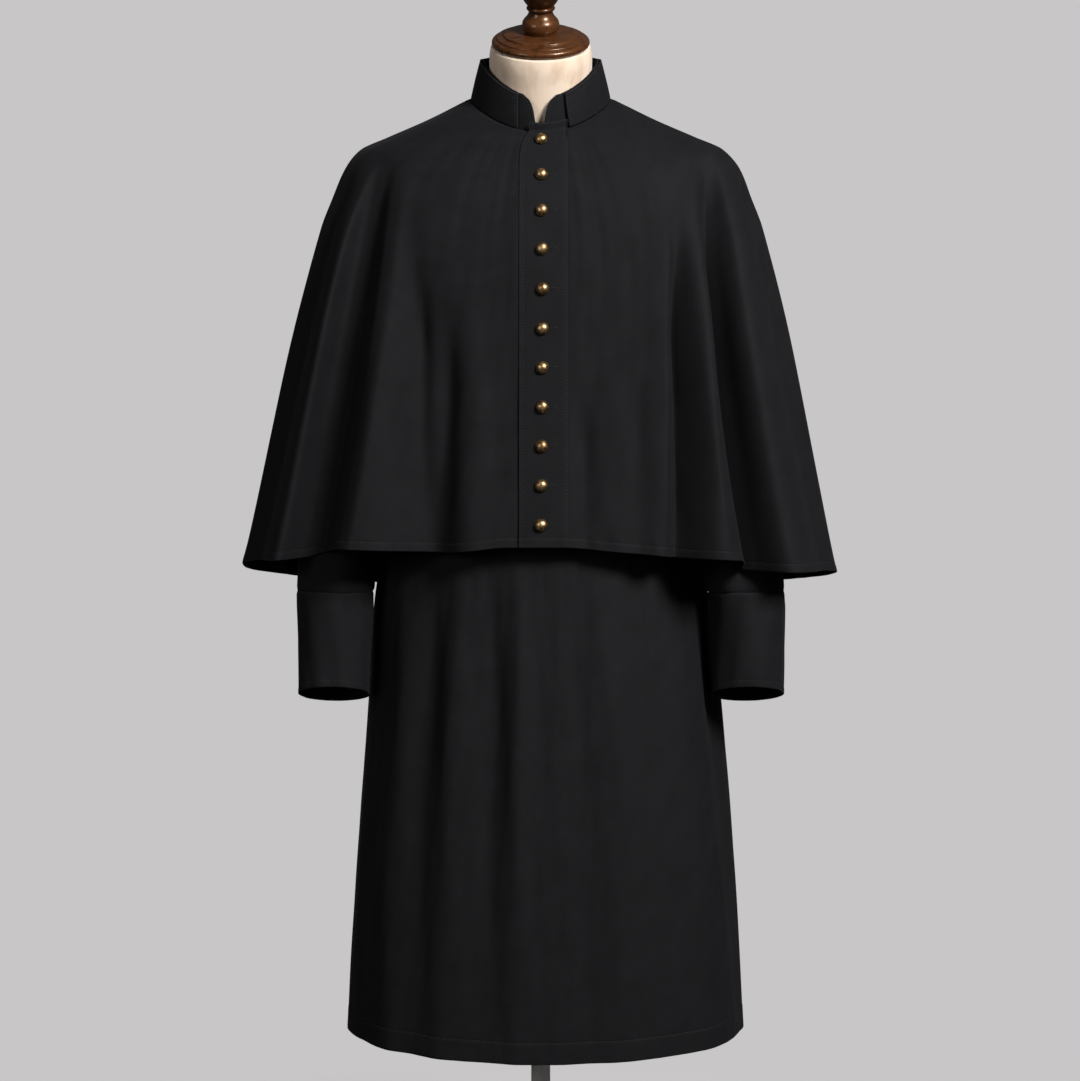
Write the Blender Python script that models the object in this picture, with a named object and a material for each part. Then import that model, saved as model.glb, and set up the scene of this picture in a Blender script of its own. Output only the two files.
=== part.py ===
"""A black clerical cassock with a buttoned shoulder cape, standing on a limbless dress form.

Metres, +Z up, the floor at Z = 0. The front faces -Y, and the wearer's left is +X.
A place on a garment is given by its turn, the angle round the body from the front (0) by the
wearer's left (90) to the back (180), and by its height, the Z that its ring has at the sides.
"""

import math
from collections import namedtuple

import bmesh
import bpy
import numpy as np
from mathutils import Matrix, Vector

CLOTH = 0.0016
COLLAR_CLOTH = 0.0022
SEAM_GAP = 0.0003
NECK_HEIGHT = 1.500
CAPE_HEM = 0.897
CAPE_FLATNESS = 0.5
SKIRT_HEM = 0.296

BAND_LEFT = -0.027
BAND_RIGHT = 0.031
BAND_PROUD = 0.0022
UNDERLAP = 0.022
BAND_TOP_CURVE = 0.012
BAND_CURVE_START = 1.465
BAND_RISE = 0.0092

BUTTONS = 11
BUTTON_DIAMETER = 0.016
FIRST_BUTTON = 0.0141
SECOND_BUTTON = 0.0669
BUTTON_PITCH = 0.0487

NECK_LEAN = math.radians(26)
NECK_TOP = Vector((0.0, -0.048, 1.5602))
FORM_INSET = 0.009
FORM_BOTTOM = 0.86
POLE_RADIUS = 0.0125
BASE_RADIUS = 0.20
BASE_THICKNESS = 0.009

Section = namedtuple(
    "Section", "name height half_width x_middle y_front y_back z_front z_back square dip"
)
CAPE_SECTIONS = (
    Section("neck", 1.5000, 0.0900, 0.000, -0.0900, 0.0700, 1.4470, 1.5200, 2.0, 1.2),
    Section("yoke", 1.4720, 0.1460, 0.001, -0.1120, 0.1000, 1.4110, 1.4900, 2.0, 1.7),
    Section("shoulder", 1.4495, 0.1975, 0.001, -0.1320, 0.1220, 1.3620, 1.4450, 2.05, 1.9),
    Section("tip", 1.4330, 0.2345, 0.0015, -0.1440, 0.1380, 1.3100, 1.3980, 2.1, 2.0),
    Section("turn", 1.4096, 0.2545, 0.0025, -0.1490, 0.1460, 1.2600, 1.3500, 2.1, 2.0),
    Section("fall", 1.3717, 0.2705, 0.002, -0.1515, 0.1510, 1.2150, 1.3000, 2.1, 2.0),
    Section("drop", 1.3340, 0.2850, 0.002, -0.1535, 0.1550, 1.1800, 1.2620, 2.1, 2.0),
    Section("hem", CAPE_HEM, 0.3860, 0.000, -0.1720, 0.2000, 0.9285, 0.8500, 2.2, 1.0),
)
BODY_SECTIONS = (
    Section("neck", 1.4955, 0.0855, 0.000, -0.0845, 0.0655, 1.4435, 1.5155, 2.0, 1.2),
    Section("yoke", 1.4670, 0.1430, 0.000, -0.1070, 0.0950, 1.4055, 1.4845, 2.0, 1.7),
    Section("shoulder", 1.4430, 0.1910, 0.000, -0.1250, 0.1160, 1.3550, 1.4380, 2.05, 1.9),
    Section("tip", 1.4140, 0.2010, 0.000, -0.1310, 0.1250, 1.3250, 1.3970, 2.1, 2.0),
    Section("chest", 1.3450, 0.1950, 0.000, -0.1330, 0.1300, 1.2850, 1.3350, 2.2, 2.0),
    Section("bust", 1.2620, 0.1880, 0.000, -0.1340, 0.1280, 1.2350, 1.2620, 2.2, 2.0),
    Section("waist", 1.0800, 0.1790, 0.000, -0.1330, 0.1180, 1.0800, 1.0800, 2.1, 2.0),
    Section("hip", 0.9300, 0.2035, 0.000, -0.1450, 0.1430, 0.9300, 0.9300, 2.0, 2.0),
    Section("seat", 0.8500, 0.2178, 0.0012, -0.1520, 0.1520, 0.8500, 0.8500, 2.0, 2.0),
    Section("thigh", 0.7200, 0.2300, 0.0055, -0.1640, 0.1620, 0.7200, 0.7200, 2.05, 2.0),
    Section("knee", 0.5500, 0.2440, 0.0065, -0.1760, 0.1730, 0.5500, 0.5500, 2.15, 2.0),
    Section("calf", 0.4000, 0.2536, 0.0065, -0.1850, 0.1820, 0.4000, 0.4000, 2.2, 2.0),
    Section("hem", SKIRT_HEM, 0.2590, 0.0065, -0.1910, 0.1890, 0.2900, 0.2930, 2.2, 2.0),
)

HemPoint = namedtuple("HemPoint", "name turn x y")
CAPE_HEM_POINTS = (
    HemPoint("back centre", -180.0, 0.000, 0.197),
    HemPoint("back pleat", -171.0, -0.032, 0.207),
    HemPoint("back hollow", -159.0, -0.078, 0.187),
    HemPoint("shoulder blade pleat", -147.0, -0.130, 0.206),
    HemPoint("blade hollow", -136.0, -0.184, 0.166),
    HemPoint("back side pleat", -126.0, -0.246, 0.178),
    HemPoint("back side hollow", -116.0, -0.288, 0.128),
    HemPoint("hind arm pleat", -109.0, -0.338, 0.120),
    HemPoint("hind arm hollow", -102.0, -0.354, 0.068),
    HemPoint("hind side roll", -96.0, -0.379, 0.038),
    HemPoint("side", -90.0, -0.386, 0.004),
    HemPoint("fore side roll", -84.0, -0.3845, -0.030),
    HemPoint("fore side hollow", -77.0, -0.357, -0.062),
    HemPoint("arm pleat flank", -73.5, -0.349, -0.098),
    HemPoint("arm pleat", -70.0, -0.328, -0.137),
    HemPoint("arm hollow", -66.5, -0.298, -0.101),
    HemPoint("panel flank", -64.0, -0.274, -0.104),
    HemPoint("panel edge", -61.0, -0.2535, -0.155),
    HemPoint("panel pleat", -57.0, -0.234, -0.174),
    HemPoint("front", 0.0, 0.000, -0.172),
    HemPoint("panel pleat", 57.0, 0.2280, -0.174),
    HemPoint("panel edge", 62.5, 0.2480, -0.157),
    HemPoint("panel flank", 65.0, 0.2530, -0.128),
    HemPoint("arm hollow", 67.5, 0.2530, -0.106),
    HemPoint("arm hollow end", 70.0, 0.2730, -0.118),
    HemPoint("arm pleat", 73.5, 0.3120, -0.145),
    HemPoint("arm pleat flank", 76.5, 0.3420, -0.116),
    HemPoint("fore side hollow", 80.0, 0.3600, -0.066),
    HemPoint("fore side roll", 85.0, 0.3810, -0.031),
    HemPoint("side", 90.0, 0.3860, 0.004),
    HemPoint("hind side roll", 97.0, 0.3790, 0.038),
    HemPoint("hind arm hollow", 103.0, 0.3540, 0.066),
    HemPoint("hind arm pleat", 110.0, 0.3400, 0.119),
    HemPoint("back side hollow", 117.0, 0.2860, 0.129),
    HemPoint("back side pleat", 127.0, 0.2440, 0.177),
    HemPoint("blade hollow", 137.0, 0.1800, 0.165),
    HemPoint("shoulder blade pleat", 149.0, 0.1260, 0.205),
    HemPoint("back hollow", 161.0, 0.0740, 0.188),
    HemPoint("back pleat", 172.0, 0.0300, 0.206),
    HemPoint("back centre", 180.0, 0.0000, 0.197),
)

HemLevel = namedtuple("HemLevel", "turn z")
CAPE_HEM_LEVELS = (
    HemLevel(-180.0, 0.849),
    HemLevel(-147.0, 0.857),
    HemLevel(-109.0, 0.8785),
    HemLevel(-90.0, 0.8960),
    HemLevel(-77.0, 0.9085),
    HemLevel(-67.0, 0.9125),
    HemLevel(-61.0, 0.9260),
    HemLevel(-34.0, 0.9215),
    HemLevel(-12.0, 0.9285),
    HemLevel(8.0, 0.9285),
    HemLevel(30.0, 0.9215),
    HemLevel(45.0, 0.9155),
    HemLevel(62.0, 0.9120),
    HemLevel(68.0, 0.8980),
    HemLevel(80.0, 0.8945),
    HemLevel(90.0, 0.8885),
    HemLevel(110.0, 0.8730),
    HemLevel(149.0, 0.8540),
    HemLevel(180.0, 0.8490),
)

Crease = namedtuple("Crease", "name turn_top top turn_hem spread depth hem_depth")
CAPE_CREASES = (
    Crease("right breast hollow", -54.0, 1.430, -38.5, 7.5, -0.032, -0.035),
    Crease("right front hollow", -37.5, 1.370, -34.0, 4.5, -0.017, -0.007),
    Crease("right front ridge", -27.0, 1.330, -24.0, 5.0, 0.004, 0.005),
    Crease("left band hollow", 18.0, 1.250, 17.0, 4.0, -0.003, -0.003),
    Crease("left front trace", 36.0, 1.250, 33.0, 3.5, -0.003, -0.003),
    Crease("left front hollow", 56.5, 1.430, 45.6, 4.3, -0.033, -0.032),
    Crease("left front ridge", 63.0, 1.430, 54.5, 4.5, 0.011, 0.008),
)
SKIRT_CREASES = (
    Crease("right hip hollow", -72.0, 0.960, -70.0, 6.0, -0.005, -0.003),
    Crease("right hip fold", -61.0, 1.000, -56.0, 6.0, 0.005, 0.002),
    Crease("right thigh hollow", -50.0, 1.000, -50.0, 5.5, -0.008, -0.004),
    Crease("right thigh fold", -37.0, 1.000, -38.0, 5.5, 0.009, 0.003),
    Crease("right front hollow", -23.0, 1.000, -23.0, 5.5, -0.009, -0.002),
    Crease("right front fold", -10.0, 1.000, -12.0, 5.0, 0.009, 0.002),
    Crease("left front hollow", 15.0, 1.000, 16.0, 6.0, -0.004, -0.002),
    Crease("left front fold", 30.0, 0.950, 29.0, 6.0, 0.004, 0.002),
    Crease("left hip fold", 57.0, 1.000, 60.0, 6.0, 0.006, 0.003),
    Crease("left hip hollow", 76.0, 1.000, 79.0, 7.0, -0.012, -0.003),
    Crease("left back fold", 112.0, 1.000, 116.0, 9.0, 0.007, 0.007),
    Crease("left back hollow", 133.0, 1.000, 138.0, 8.0, -0.009, -0.009),
    Crease("left seat fold", 152.0, 0.980, 157.0, 8.0, 0.007, 0.007),
    Crease("right seat fold", -152.0, 0.980, -157.0, 8.0, 0.007, 0.007),
    Crease("right back hollow", -130.0, 1.000, -136.0, 8.0, -0.009, -0.009),
    Crease("right back fold", -108.0, 1.000, -113.0, 9.0, 0.006, 0.006),
)

CAPE_ROWS = (1.5, 1.487, 1.473, 1.4505, 1.434, 1.4106, 1.3717, 1.334, 1.25, 1.16, 1.07, 0.98, CAPE_HEM)
BODY_ROWS = (1.4955, 1.482, 1.468, 1.444, 1.415, 1.38, 1.345, 1.30, 1.262, 1.17, 1.08, 0.93, 0.85, 0.72)
BODY_ROWS += (0.58, 0.44, 0.36, SKIRT_HEM)
FRONT_TURNS = (26.0, 38.0, 48.0, 56.0, 61.5, 64.5, 67.0, 70.0, 73.5, 77.0, 80.5, 85.0)
BACK_TURNS = (93.5, 97.0, 102.5, 106.5, 110.0, 113.5, 117.0, 122.0, 127.0, 132.0, 137.0)
BACK_TURNS += (143.0, 149.0, 155.0, 161.0, 167.0, 173.0)
SKIRT_TURNS = (11.5, 23.0, 37.0, 50.0, 58.0, 67.0, 76.0, 83.0)
SKIRT_BACK_TURNS = (98.0, 106.0, 114.0, 123.0, 132.0, 142.0, 152.0, 161.0, 170.5)

NECK_SLIT_MIDDLE = Vector((0.0, -0.11, 1.36))
NECK_SLIT_SIZE = (0.0012, 0.09, 0.22)
Armhole = namedtuple("Armhole", "height half_height half_turn sides")
ARMHOLE = Armhole(1.343, 0.078, 19.0, 24)

SleeveRing = namedtuple("SleeveRing", "name outer_x outer_z inner_x inner_z y half_depth front_rise")
SLEEVE_RINGS = (
    SleeveRing("head", 0.2220, 1.4160, 0.2035, 1.2580, -0.004, 0.060, 0.0),
    SleeveRing("cap", 0.2430, 1.3920, 0.2060, 1.2250, -0.007, 0.059, 0.0),
    SleeveRing("upper arm", 0.2620, 1.3430, 0.2055, 1.1700, -0.013, 0.058, 0.0),
    SleeveRing("arm", 0.2810, 1.2500, 0.2015, 1.1000, -0.024, 0.056, 0.0),
    SleeveRing("elbow", 0.2950, 1.1300, 0.2010, 1.0200, -0.036, 0.054, 0.0),
    SleeveRing("forearm", 0.3055, 1.0000, 0.2060, 0.9500, -0.047, 0.052, 0.0),
    SleeveRing("wrist", 0.3100, 0.8680, 0.2120, 0.8680, -0.055, 0.050, 0.0),
)
CUFF_RINGS = (
    SleeveRing("seam", 0.3110, 0.8676, 0.2145, 0.8676, -0.055, 0.0505, 0.0),
    SleeveRing("middle", 0.3110, 0.8000, 0.2170, 0.8000, -0.057, 0.0495, 0.006),
    SleeveRing("edge", 0.3100, 0.7360, 0.2195, 0.7360, -0.060, 0.0485, 0.014),
)
SLEEVE_INSIDE = 0.0006
FORE_SEAM = 24.0
HIND_SEAM = 210.0

CollarRow = namedtuple(
    "CollarRow", "half_width y_front y_back z_front z_side z_back right_end left_end"
)
CAPE_COLLAR = (
    CollarRow(0.0898, -0.0899, 0.0699, 1.4480, 1.5010, 1.5210, -0.0290, 0.0360),
    CollarRow(0.0858, -0.0924, 0.0588, 1.4608, 1.5164, 1.5358, -0.0290, 0.0340),
    CollarRow(0.0812, -0.0942, 0.0468, 1.4744, 1.5324, 1.5512, -0.0290, 0.0320),
    CollarRow(0.0774, -0.0952, 0.0360, 1.4862, 1.5458, 1.5640, -0.0290, 0.0305),
)
CASSOCK_COLLAR = (
    CollarRow(0.0853, -0.0843, 0.0653, 1.4448, 1.4968, 1.5168, -0.0062, 0.0042),
    CollarRow(0.0817, -0.0876, 0.0547, 1.4600, 1.5138, 1.5338, -0.0073, 0.0052),
    CollarRow(0.0774, -0.0900, 0.0427, 1.4757, 1.5311, 1.5502, -0.0101, 0.0078),
    CollarRow(0.0748, -0.0912, 0.0357, 1.4848, 1.5414, 1.5600, -0.0146, 0.0122),
    CollarRow(0.0737, -0.0917, 0.0322, 1.4890, 1.5464, 1.5650, -0.0220, 0.0190),
)

FORM_SIDES = 28
NeckRing = namedtuple("NeckRing", "radius down")
NECK_RINGS = (NeckRing(0.0628, 0.0), NeckRing(0.0655, 0.014), NeckRing(0.0657, 0.036))
THROAT = Section("throat", 1.4870, 0.0765, 0.000, -0.0725, 0.0600, 1.4400, 1.5040, 2.0, 1.2)
THROAT_INSET = 0.004
BOTTOM_INSET = 0.0126

ProfilePoint = namedtuple("ProfilePoint", "radius height")
CAP_PROFILE = (
    ProfilePoint(0.0, 0.0003),
    ProfilePoint(0.0585, 0.0003),
    ProfilePoint(0.0610, 0.0013),
    ProfilePoint(0.0622, 0.0048),
    ProfilePoint(0.0613, 0.0080),
    ProfilePoint(0.0588, 0.0096),
    ProfilePoint(0.0572, 0.0100),
    ProfilePoint(0.0562, 0.0110),
    ProfilePoint(0.0525, 0.0122),
    ProfilePoint(0.0487, 0.0132),
    ProfilePoint(0.0474, 0.0135),
    ProfilePoint(0.0465, 0.0146),
    ProfilePoint(0.0390, 0.0164),
    ProfilePoint(0.0280, 0.0176),
    ProfilePoint(0.0, 0.0176),
)
FINIAL_STEM = (
    ProfilePoint(0.0, 0.0179),
    ProfilePoint(0.0195, 0.0179),
    ProfilePoint(0.0218, 0.0205),
    ProfilePoint(0.0232, 0.0245),
    ProfilePoint(0.0236, 0.0290),
    ProfilePoint(0.0228, 0.0325),
    ProfilePoint(0.0208, 0.0354),
    ProfilePoint(0.0180, 0.0385),
    ProfilePoint(0.0160, 0.0418),
    ProfilePoint(0.0151, 0.0452),
    ProfilePoint(0.0168, 0.0468),
    ProfilePoint(0.0178, 0.0496),
    ProfilePoint(0.0168, 0.0523),
    ProfilePoint(0.0160, 0.0529),
)
BALL_MIDDLE = 0.0711
BALL_RADIUS = 0.0246
BALL_ANGLES = np.radians(np.linspace(44, 165, 8))

POLE_FOOT = BASE_THICKNESS + SEAM_GAP
POLE_HEAD = FORM_BOTTOM - SEAM_GAP
POLE_PROFILE = (
    ProfilePoint(0.0, POLE_FOOT),
    ProfilePoint(0.030, POLE_FOOT),
    ProfilePoint(0.030, POLE_FOOT + 0.006),
    ProfilePoint(0.016, POLE_FOOT + 0.020),
    ProfilePoint(POLE_RADIUS, POLE_FOOT + 0.022),
    ProfilePoint(POLE_RADIUS, POLE_HEAD - 0.008),
    ProfilePoint(0.040, POLE_HEAD - 0.006),
    ProfilePoint(0.040, POLE_HEAD),
    ProfilePoint(0.0, POLE_HEAD),
)
FOOT_PROFILE = (
    ProfilePoint(0.0, 0.0),
    ProfilePoint(BASE_RADIUS - 0.001, 0.0),
    ProfilePoint(BASE_RADIUS, 0.001),
    ProfilePoint(BASE_RADIUS, 0.0055),
    ProfilePoint(BASE_RADIUS - 0.004, 0.0080),
    ProfilePoint(0.060, BASE_THICKNESS),
    ProfilePoint(0.0, BASE_THICKNESS),
)

BLACK_WOOL = ("black wool", (0.012, 0.012, 0.014, 1.0), 0.85, 0.0)
LINEN = ("natural linen", (0.72, 0.60, 0.46, 1.0), 0.9, 0.0)
WALNUT = ("varnished walnut", (0.10, 0.035, 0.015, 1.0), 0.25, 0.0)
BRASS = ("antique brass", (0.45, 0.32, 0.16, 1.0), 0.35, 1.0)
PAINTED_STEEL = ("painted steel", (0.60, 0.60, 0.60, 1.0), 0.4, 0.0)


def clear_scene():
    for old in list(bpy.data.objects):
        bpy.data.objects.remove(old)


def read(knots, values, at):
    """Values on a smooth curve through rising knots that never overshoots them."""
    knots = np.asarray(knots, float)
    values = np.asarray(values, float)
    step = np.diff(knots)
    rise = np.diff(values) / step
    same_way = rise[:-1] * rise[1:] > 0
    total = np.where(same_way, rise[:-1] + rise[1:], 1.0)
    slope = np.concatenate([rise[:1], np.where(same_way, 2 * rise[:-1] * rise[1:] / total, 0.0), rise[-1:]])
    k = np.clip(np.searchsorted(knots, at) - 1, 0, len(step) - 1)
    s = (at - knots[k]) / step[k]
    start = (1 + 2 * s) * (1 - s) ** 2 * values[k] + s * (1 - s) ** 2 * step[k] * slope[k]
    end = (3 - 2 * s) * s**2 * values[k + 1] - (1 - s) * s**2 * step[k] * slope[k + 1]
    return start + end


def column(rows, name, height):
    """A column of a section table, read at any height."""
    upward = rows[::-1]
    return read([row.height for row in upward], [getattr(row, name) for row in upward], height)


def oval(turn, half_width, y_front, y_back, square):
    """X and Y of a rounded oval at a turn, given as an angle round its middle."""
    sine, cosine = np.sin(turn), np.cos(turn)
    across = (np.abs(sine) / half_width) ** square
    along = (np.abs(cosine) / ((y_back - y_front) / 2)) ** square
    reach = (across + along) ** (-1 / square)
    return reach * sine, (y_front + y_back) / 2 - reach * cosine


def ring(rows, turn, height):
    """Points of the smooth garment, before any fold."""
    width, x_middle, y_front, y_back, z_front, z_back, square, dip = (
        column(rows, name, height) for name in Section._fields[2:]
    )
    x, y = oval(turn, width, y_front, y_back, square)
    z_end = np.where(np.cos(turn) > 0, z_front, z_back)
    z = height + (z_end - height) * np.abs(np.cos(turn)) ** dip
    return np.stack([x + x_middle, y, z], axis=-1)


def turn_at(rows, x, height):
    """The turn, near the front, at which the garment is x from its middle."""
    width, x_middle, y_front, y_back, square = (
        column(rows, name, height) for name in ("half_width", "x_middle", "y_front", "y_back", "square")
    )
    aside = x - x_middle
    depth = (y_back - y_front) / 2 * (1 - np.abs(aside / width) ** square) ** (1 / square)
    return np.arctan2(aside, depth)


def creased(points, turn, height, creases, hem, flatness):
    """Points moved in or out along the soft hollows and ridges that a table lists."""
    wrapped = (np.degrees(turn) + 180) % 360 - 180
    moved = np.zeros_like(wrapped)
    for crease in creases:
        fallen = np.clip((crease.top - height) / (crease.top - hem), 0, 1)
        line = crease.turn_top + (crease.turn_hem - crease.turn_top) * fallen
        grown = np.clip(fallen / 0.4, 0, 1)
        depth = crease.depth + (crease.hem_depth - crease.depth) * np.clip(fallen / 0.6 - 0.67, 0, 1)
        moved += depth * grown**2 * (3 - 2 * grown) * np.exp(-(((wrapped - line) / crease.spread) ** 2))
    facing = np.stack([np.sin(turn) * flatness, -np.cos(turn), np.zeros_like(moved)], axis=-1)
    return points + facing / np.linalg.norm(facing, axis=-1, keepdims=True) * moved[..., None]


def cape_points(turn, height):
    """The cape: smooth at the shoulders, its pleats opening from the shoulder tip down to the hem."""
    turn, height = np.broadcast_arrays(turn, height)
    wrapped = (np.degrees(turn) + 180) % 360 - 180
    hem = ring(CAPE_SECTIONS, turn, np.full_like(height, CAPE_HEM))
    turns = [point.turn for point in CAPE_HEM_POINTS]
    pleats = np.zeros_like(hem)
    pleats[..., 0] = read(turns, [point.x for point in CAPE_HEM_POINTS], wrapped) - hem[..., 0]
    pleats[..., 1] = read(turns, [point.y for point in CAPE_HEM_POINTS], wrapped) - hem[..., 1]
    pleats[..., :2] *= np.clip((np.abs(wrapped) - 20) / 30, 0, 1)[..., None]
    levels = read([level.turn for level in CAPE_HEM_LEVELS], [level.z for level in CAPE_HEM_LEVELS], wrapped)
    pleats[..., 2] = levels - hem[..., 2]
    top = CAPE_SECTIONS[3].height
    opened = np.clip((top - height) / (top - CAPE_HEM), 0, 1)
    pleats[..., :2] *= (1 - (1 - opened) ** 4)[..., None]
    pleats[..., 2] *= opened
    smooth = ring(CAPE_SECTIONS, turn, height) + pleats
    return creased(smooth, turn, height, CAPE_CREASES, CAPE_HEM, CAPE_FLATNESS)


def body_points(turn, height):
    turn, height = np.broadcast_arrays(turn, height)
    return creased(ring(BODY_SECTIONS, turn, height), turn, height, SKIRT_CREASES, SKIRT_HEM, 1)


def facing_of(surface, turn, height):
    """Outward directions of a surface, read from its slopes at each turn and height."""
    turn_step, height_step = math.radians(0.5), 0.001
    down = surface(turn, height - height_step) - surface(turn, height + height_step)
    onward = surface(turn + turn_step, height) - surface(turn - turn_step, height)
    across = np.cross(down, onward)
    return across / np.linalg.norm(across, axis=-1, keepdims=True)


def short_of_seams(points):
    """Moves a panel's two upright edges half a seam gap inwards."""
    for edge, inner in ((0, 1), (-1, -2)):
        along = points[:, inner] - points[:, edge]
        points[:, edge] += along / np.linalg.norm(along, axis=-1, keepdims=True) * SEAM_GAP / 2
    return points


def grid_of(turns, heights):
    """Arrays of turns (radians) and heights, from columns in degrees or one turn for each row."""
    rows = np.array(heights)
    columns = [np.radians(turn) if np.isscalar(turn) else turn for turn in turns]
    turn = np.stack([np.broadcast_to(one, rows.shape) for one in columns], axis=1)
    return turn, np.repeat(rows[:, None], len(turns), axis=1)


def new_object(name, mesh_builder, finish):
    mesh = bpy.data.meshes.new(name)
    mesh_builder.to_mesh(mesh)
    mesh_builder.free()
    made = bpy.data.objects.new(name, mesh)
    bpy.context.scene.collection.objects.link(made)
    label, colour, roughness, metallic = finish
    material = bpy.data.materials.new(f"{name} {label}")
    material.use_nodes = True
    shader = material.node_tree.nodes["Principled BSDF"]
    shader.inputs["Base Color"].default_value = colour
    shader.inputs["Roughness"].default_value = roughness
    shader.inputs["Metallic"].default_value = metallic
    mesh.materials.append(material)
    mesh.shade_smooth()
    mesh.set_sharp_from_angle(angle=math.radians(40))
    return made


def cloth_panel(name, outer, facing, thickness=CLOTH):
    """Cloth with a wall inside a grid of outer points: rows run down, columns round by rising turn."""
    outer = short_of_seams(np.array(outer))
    builder = bmesh.new()
    skins = [
        [[builder.verts.new(point) for point in row] for row in points]
        for points in (outer, outer - facing * thickness)
    ]
    for skin, outside in zip(skins, (True, False)):
        for upper, lower in zip(skin, skin[1:]):
            for k in range(len(upper) - 1):
                face = (upper[k], lower[k], lower[k + 1], upper[k + 1])
                builder.faces.new(face if outside else face[::-1])
    rims = [edge_loop(skin) for skin in skins]
    for k in range(len(rims[0])):
        builder.faces.new((rims[0][k], rims[0][k - 1], rims[1][k - 1], rims[1][k]))
    return new_object(name, builder, BLACK_WOOL)


def edge_loop(grid):
    """A grid's border: down its first column, along the bottom, up the last column and back."""
    first = [row[0] for row in grid]
    last = [row[-1] for row in grid]
    return first + list(grid[-1][1:]) + last[-2::-1] + list(grid[0][-2:0:-1])


def surface_panel(name, surface, turns, heights):
    turn, height = grid_of(turns, heights)
    return cloth_panel(name, surface(turn, height), facing_of(surface, turn, height))


def lofted(name, rings, finish):
    """A closed body through rings of equal count, from the top down, with flat ends."""
    builder = bmesh.new()
    grid = [[builder.verts.new(point) for point in one] for one in rings]
    count = len(grid[0])
    for upper, lower in zip(grid, grid[1:]):
        for k in range(count):
            after = (k + 1) % count
            builder.faces.new((upper[k], lower[k], lower[after], upper[after]))
    builder.faces.new(grid[0])
    builder.faces.new(grid[-1][::-1])
    bmesh.ops.recalc_face_normals(builder, faces=builder.faces)
    return new_object(name, builder, finish)


def turned(name, profile, sides, finish, place=Matrix()):
    """A body turned about Z from a profile of (radius, height) that starts and ends on the axis."""
    builder = bmesh.new()
    line = [builder.verts.new((radius, 0.0, height)) for radius, height in profile]
    edges = [builder.edges.new(pair) for pair in zip(line, line[1:])]
    bmesh.ops.spin(
        builder, geom=line + edges, cent=(0, 0, 0), axis=(0, 0, 1), angle=math.tau, steps=sides, use_merge=True
    )
    bmesh.ops.remove_doubles(builder, verts=builder.verts, dist=1e-6)
    bmesh.ops.recalc_face_normals(builder, faces=builder.faces)
    bmesh.ops.transform(builder, matrix=place, verts=builder.verts)
    return new_object(name, builder, finish)


def cut(panel, cutter):
    hole = panel.modifiers.new(f"cut by {cutter.name}", "BOOLEAN")
    hole.operation = "DIFFERENCE"
    hole.object = cutter


def hidden_cutter(cutter):
    cutter.hide_render = True
    cutter.display_type = "WIRE"
    return cutter


def armhole_points():
    """The left armhole's edge on the cassock, from its top round by the front."""
    angle = np.linspace(0, math.tau, ARMHOLE.sides, endpoint=False)
    turn = np.radians(90 - ARMHOLE.half_turn * np.sin(angle))
    return ring(BODY_SECTIONS, turn, ARMHOLE.height + ARMHOLE.half_height * np.cos(angle))


def armhole_cutter():
    """One prism across the body, which opens both armholes."""
    edge = armhole_points()
    reach = 0.3
    ends = [[(side * reach, y, z) for _, y, z in edge] for side in (-1, 1)]
    return hidden_cutter(lofted("armhole cutter", ends, BLACK_WOOL))


def neck_slit_cutter():
    """A thin upright slab: the front neck opening, which the cape's band covers."""
    builder = bmesh.new()
    place = Matrix.Translation(NECK_SLIT_MIDDLE) @ Matrix.Diagonal((*NECK_SLIT_SIZE, 1))
    bmesh.ops.create_cube(builder, size=1, matrix=place)
    return hidden_cutter(new_object("neck slit cutter", builder, BLACK_WOOL))


def make_cassock_body():
    armholes = armhole_cutter()
    sides = sorted(-turn for turn in SKIRT_TURNS)
    front_turns = (-90.0, *sides, 0.0, *SKIRT_TURNS, 90.0)
    front = surface_panel("cassock_front", body_points, front_turns, BODY_ROWS)
    cut(front, armholes)
    cut(front, neck_slit_cutter())
    left_turns = (90.0, *SKIRT_BACK_TURNS, 180.0)
    left = surface_panel("cassock_back_left", body_points, left_turns, BODY_ROWS)
    cut(left, armholes)
    right_turns = tuple(360 - turn for turn in reversed(left_turns))
    right = surface_panel("cassock_back_right", body_points, right_turns, BODY_ROWS)
    cut(right, armholes)


def sleeve_ring(row, angle):
    """One ring of a left sleeve: angle 0 at its outer side, 90 at its front, 180 at its inner side."""
    outer = np.array([row.outer_x, row.y, row.outer_z])
    inner = np.array([row.inner_x, row.y, row.inner_z])
    middle, half = (outer + inner) / 2, (outer - inner) / 2
    forward = np.array([0.0, -row.half_depth, row.front_rise])
    return middle + half * np.cos(angle)[:, None] + forward * np.sin(angle)[:, None]


def armhole_ring(angle):
    """The sleeve's own edge, just inside the armhole's."""
    turn = np.radians(90 - ARMHOLE.half_turn * np.sin(angle))
    edge = ring(BODY_SECTIONS, turn, ARMHOLE.height + ARMHOLE.half_height * np.cos(angle))
    middle = armhole_points().mean(axis=0)
    inside = 1 - SLEEVE_INSIDE / ARMHOLE.half_height
    edge[:, 1:] = middle[1:] + (edge[:, 1:] - middle[1:]) * inside
    return edge


def make_sleeves():
    """Each sleeve is a fore and a hind part; each cuff is one band that meets itself at the fore seam."""
    parts = {"fore": (FORE_SEAM, HIND_SEAM), "hind": (HIND_SEAM, FORE_SEAM + 360)}
    for side, mirror in (("left", 1), ("right", -1)):
        for part, (start, end) in parts.items():
            angle = np.radians(np.linspace(start, end, 9))
            tube_part(f"sleeve_{side}_{part}", sleeve_rings, angle, mirror)
        tube_part(f"cuff_{side}", cuff_rings, np.radians(np.linspace(FORE_SEAM, FORE_SEAM + 360, 19)), mirror)


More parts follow.
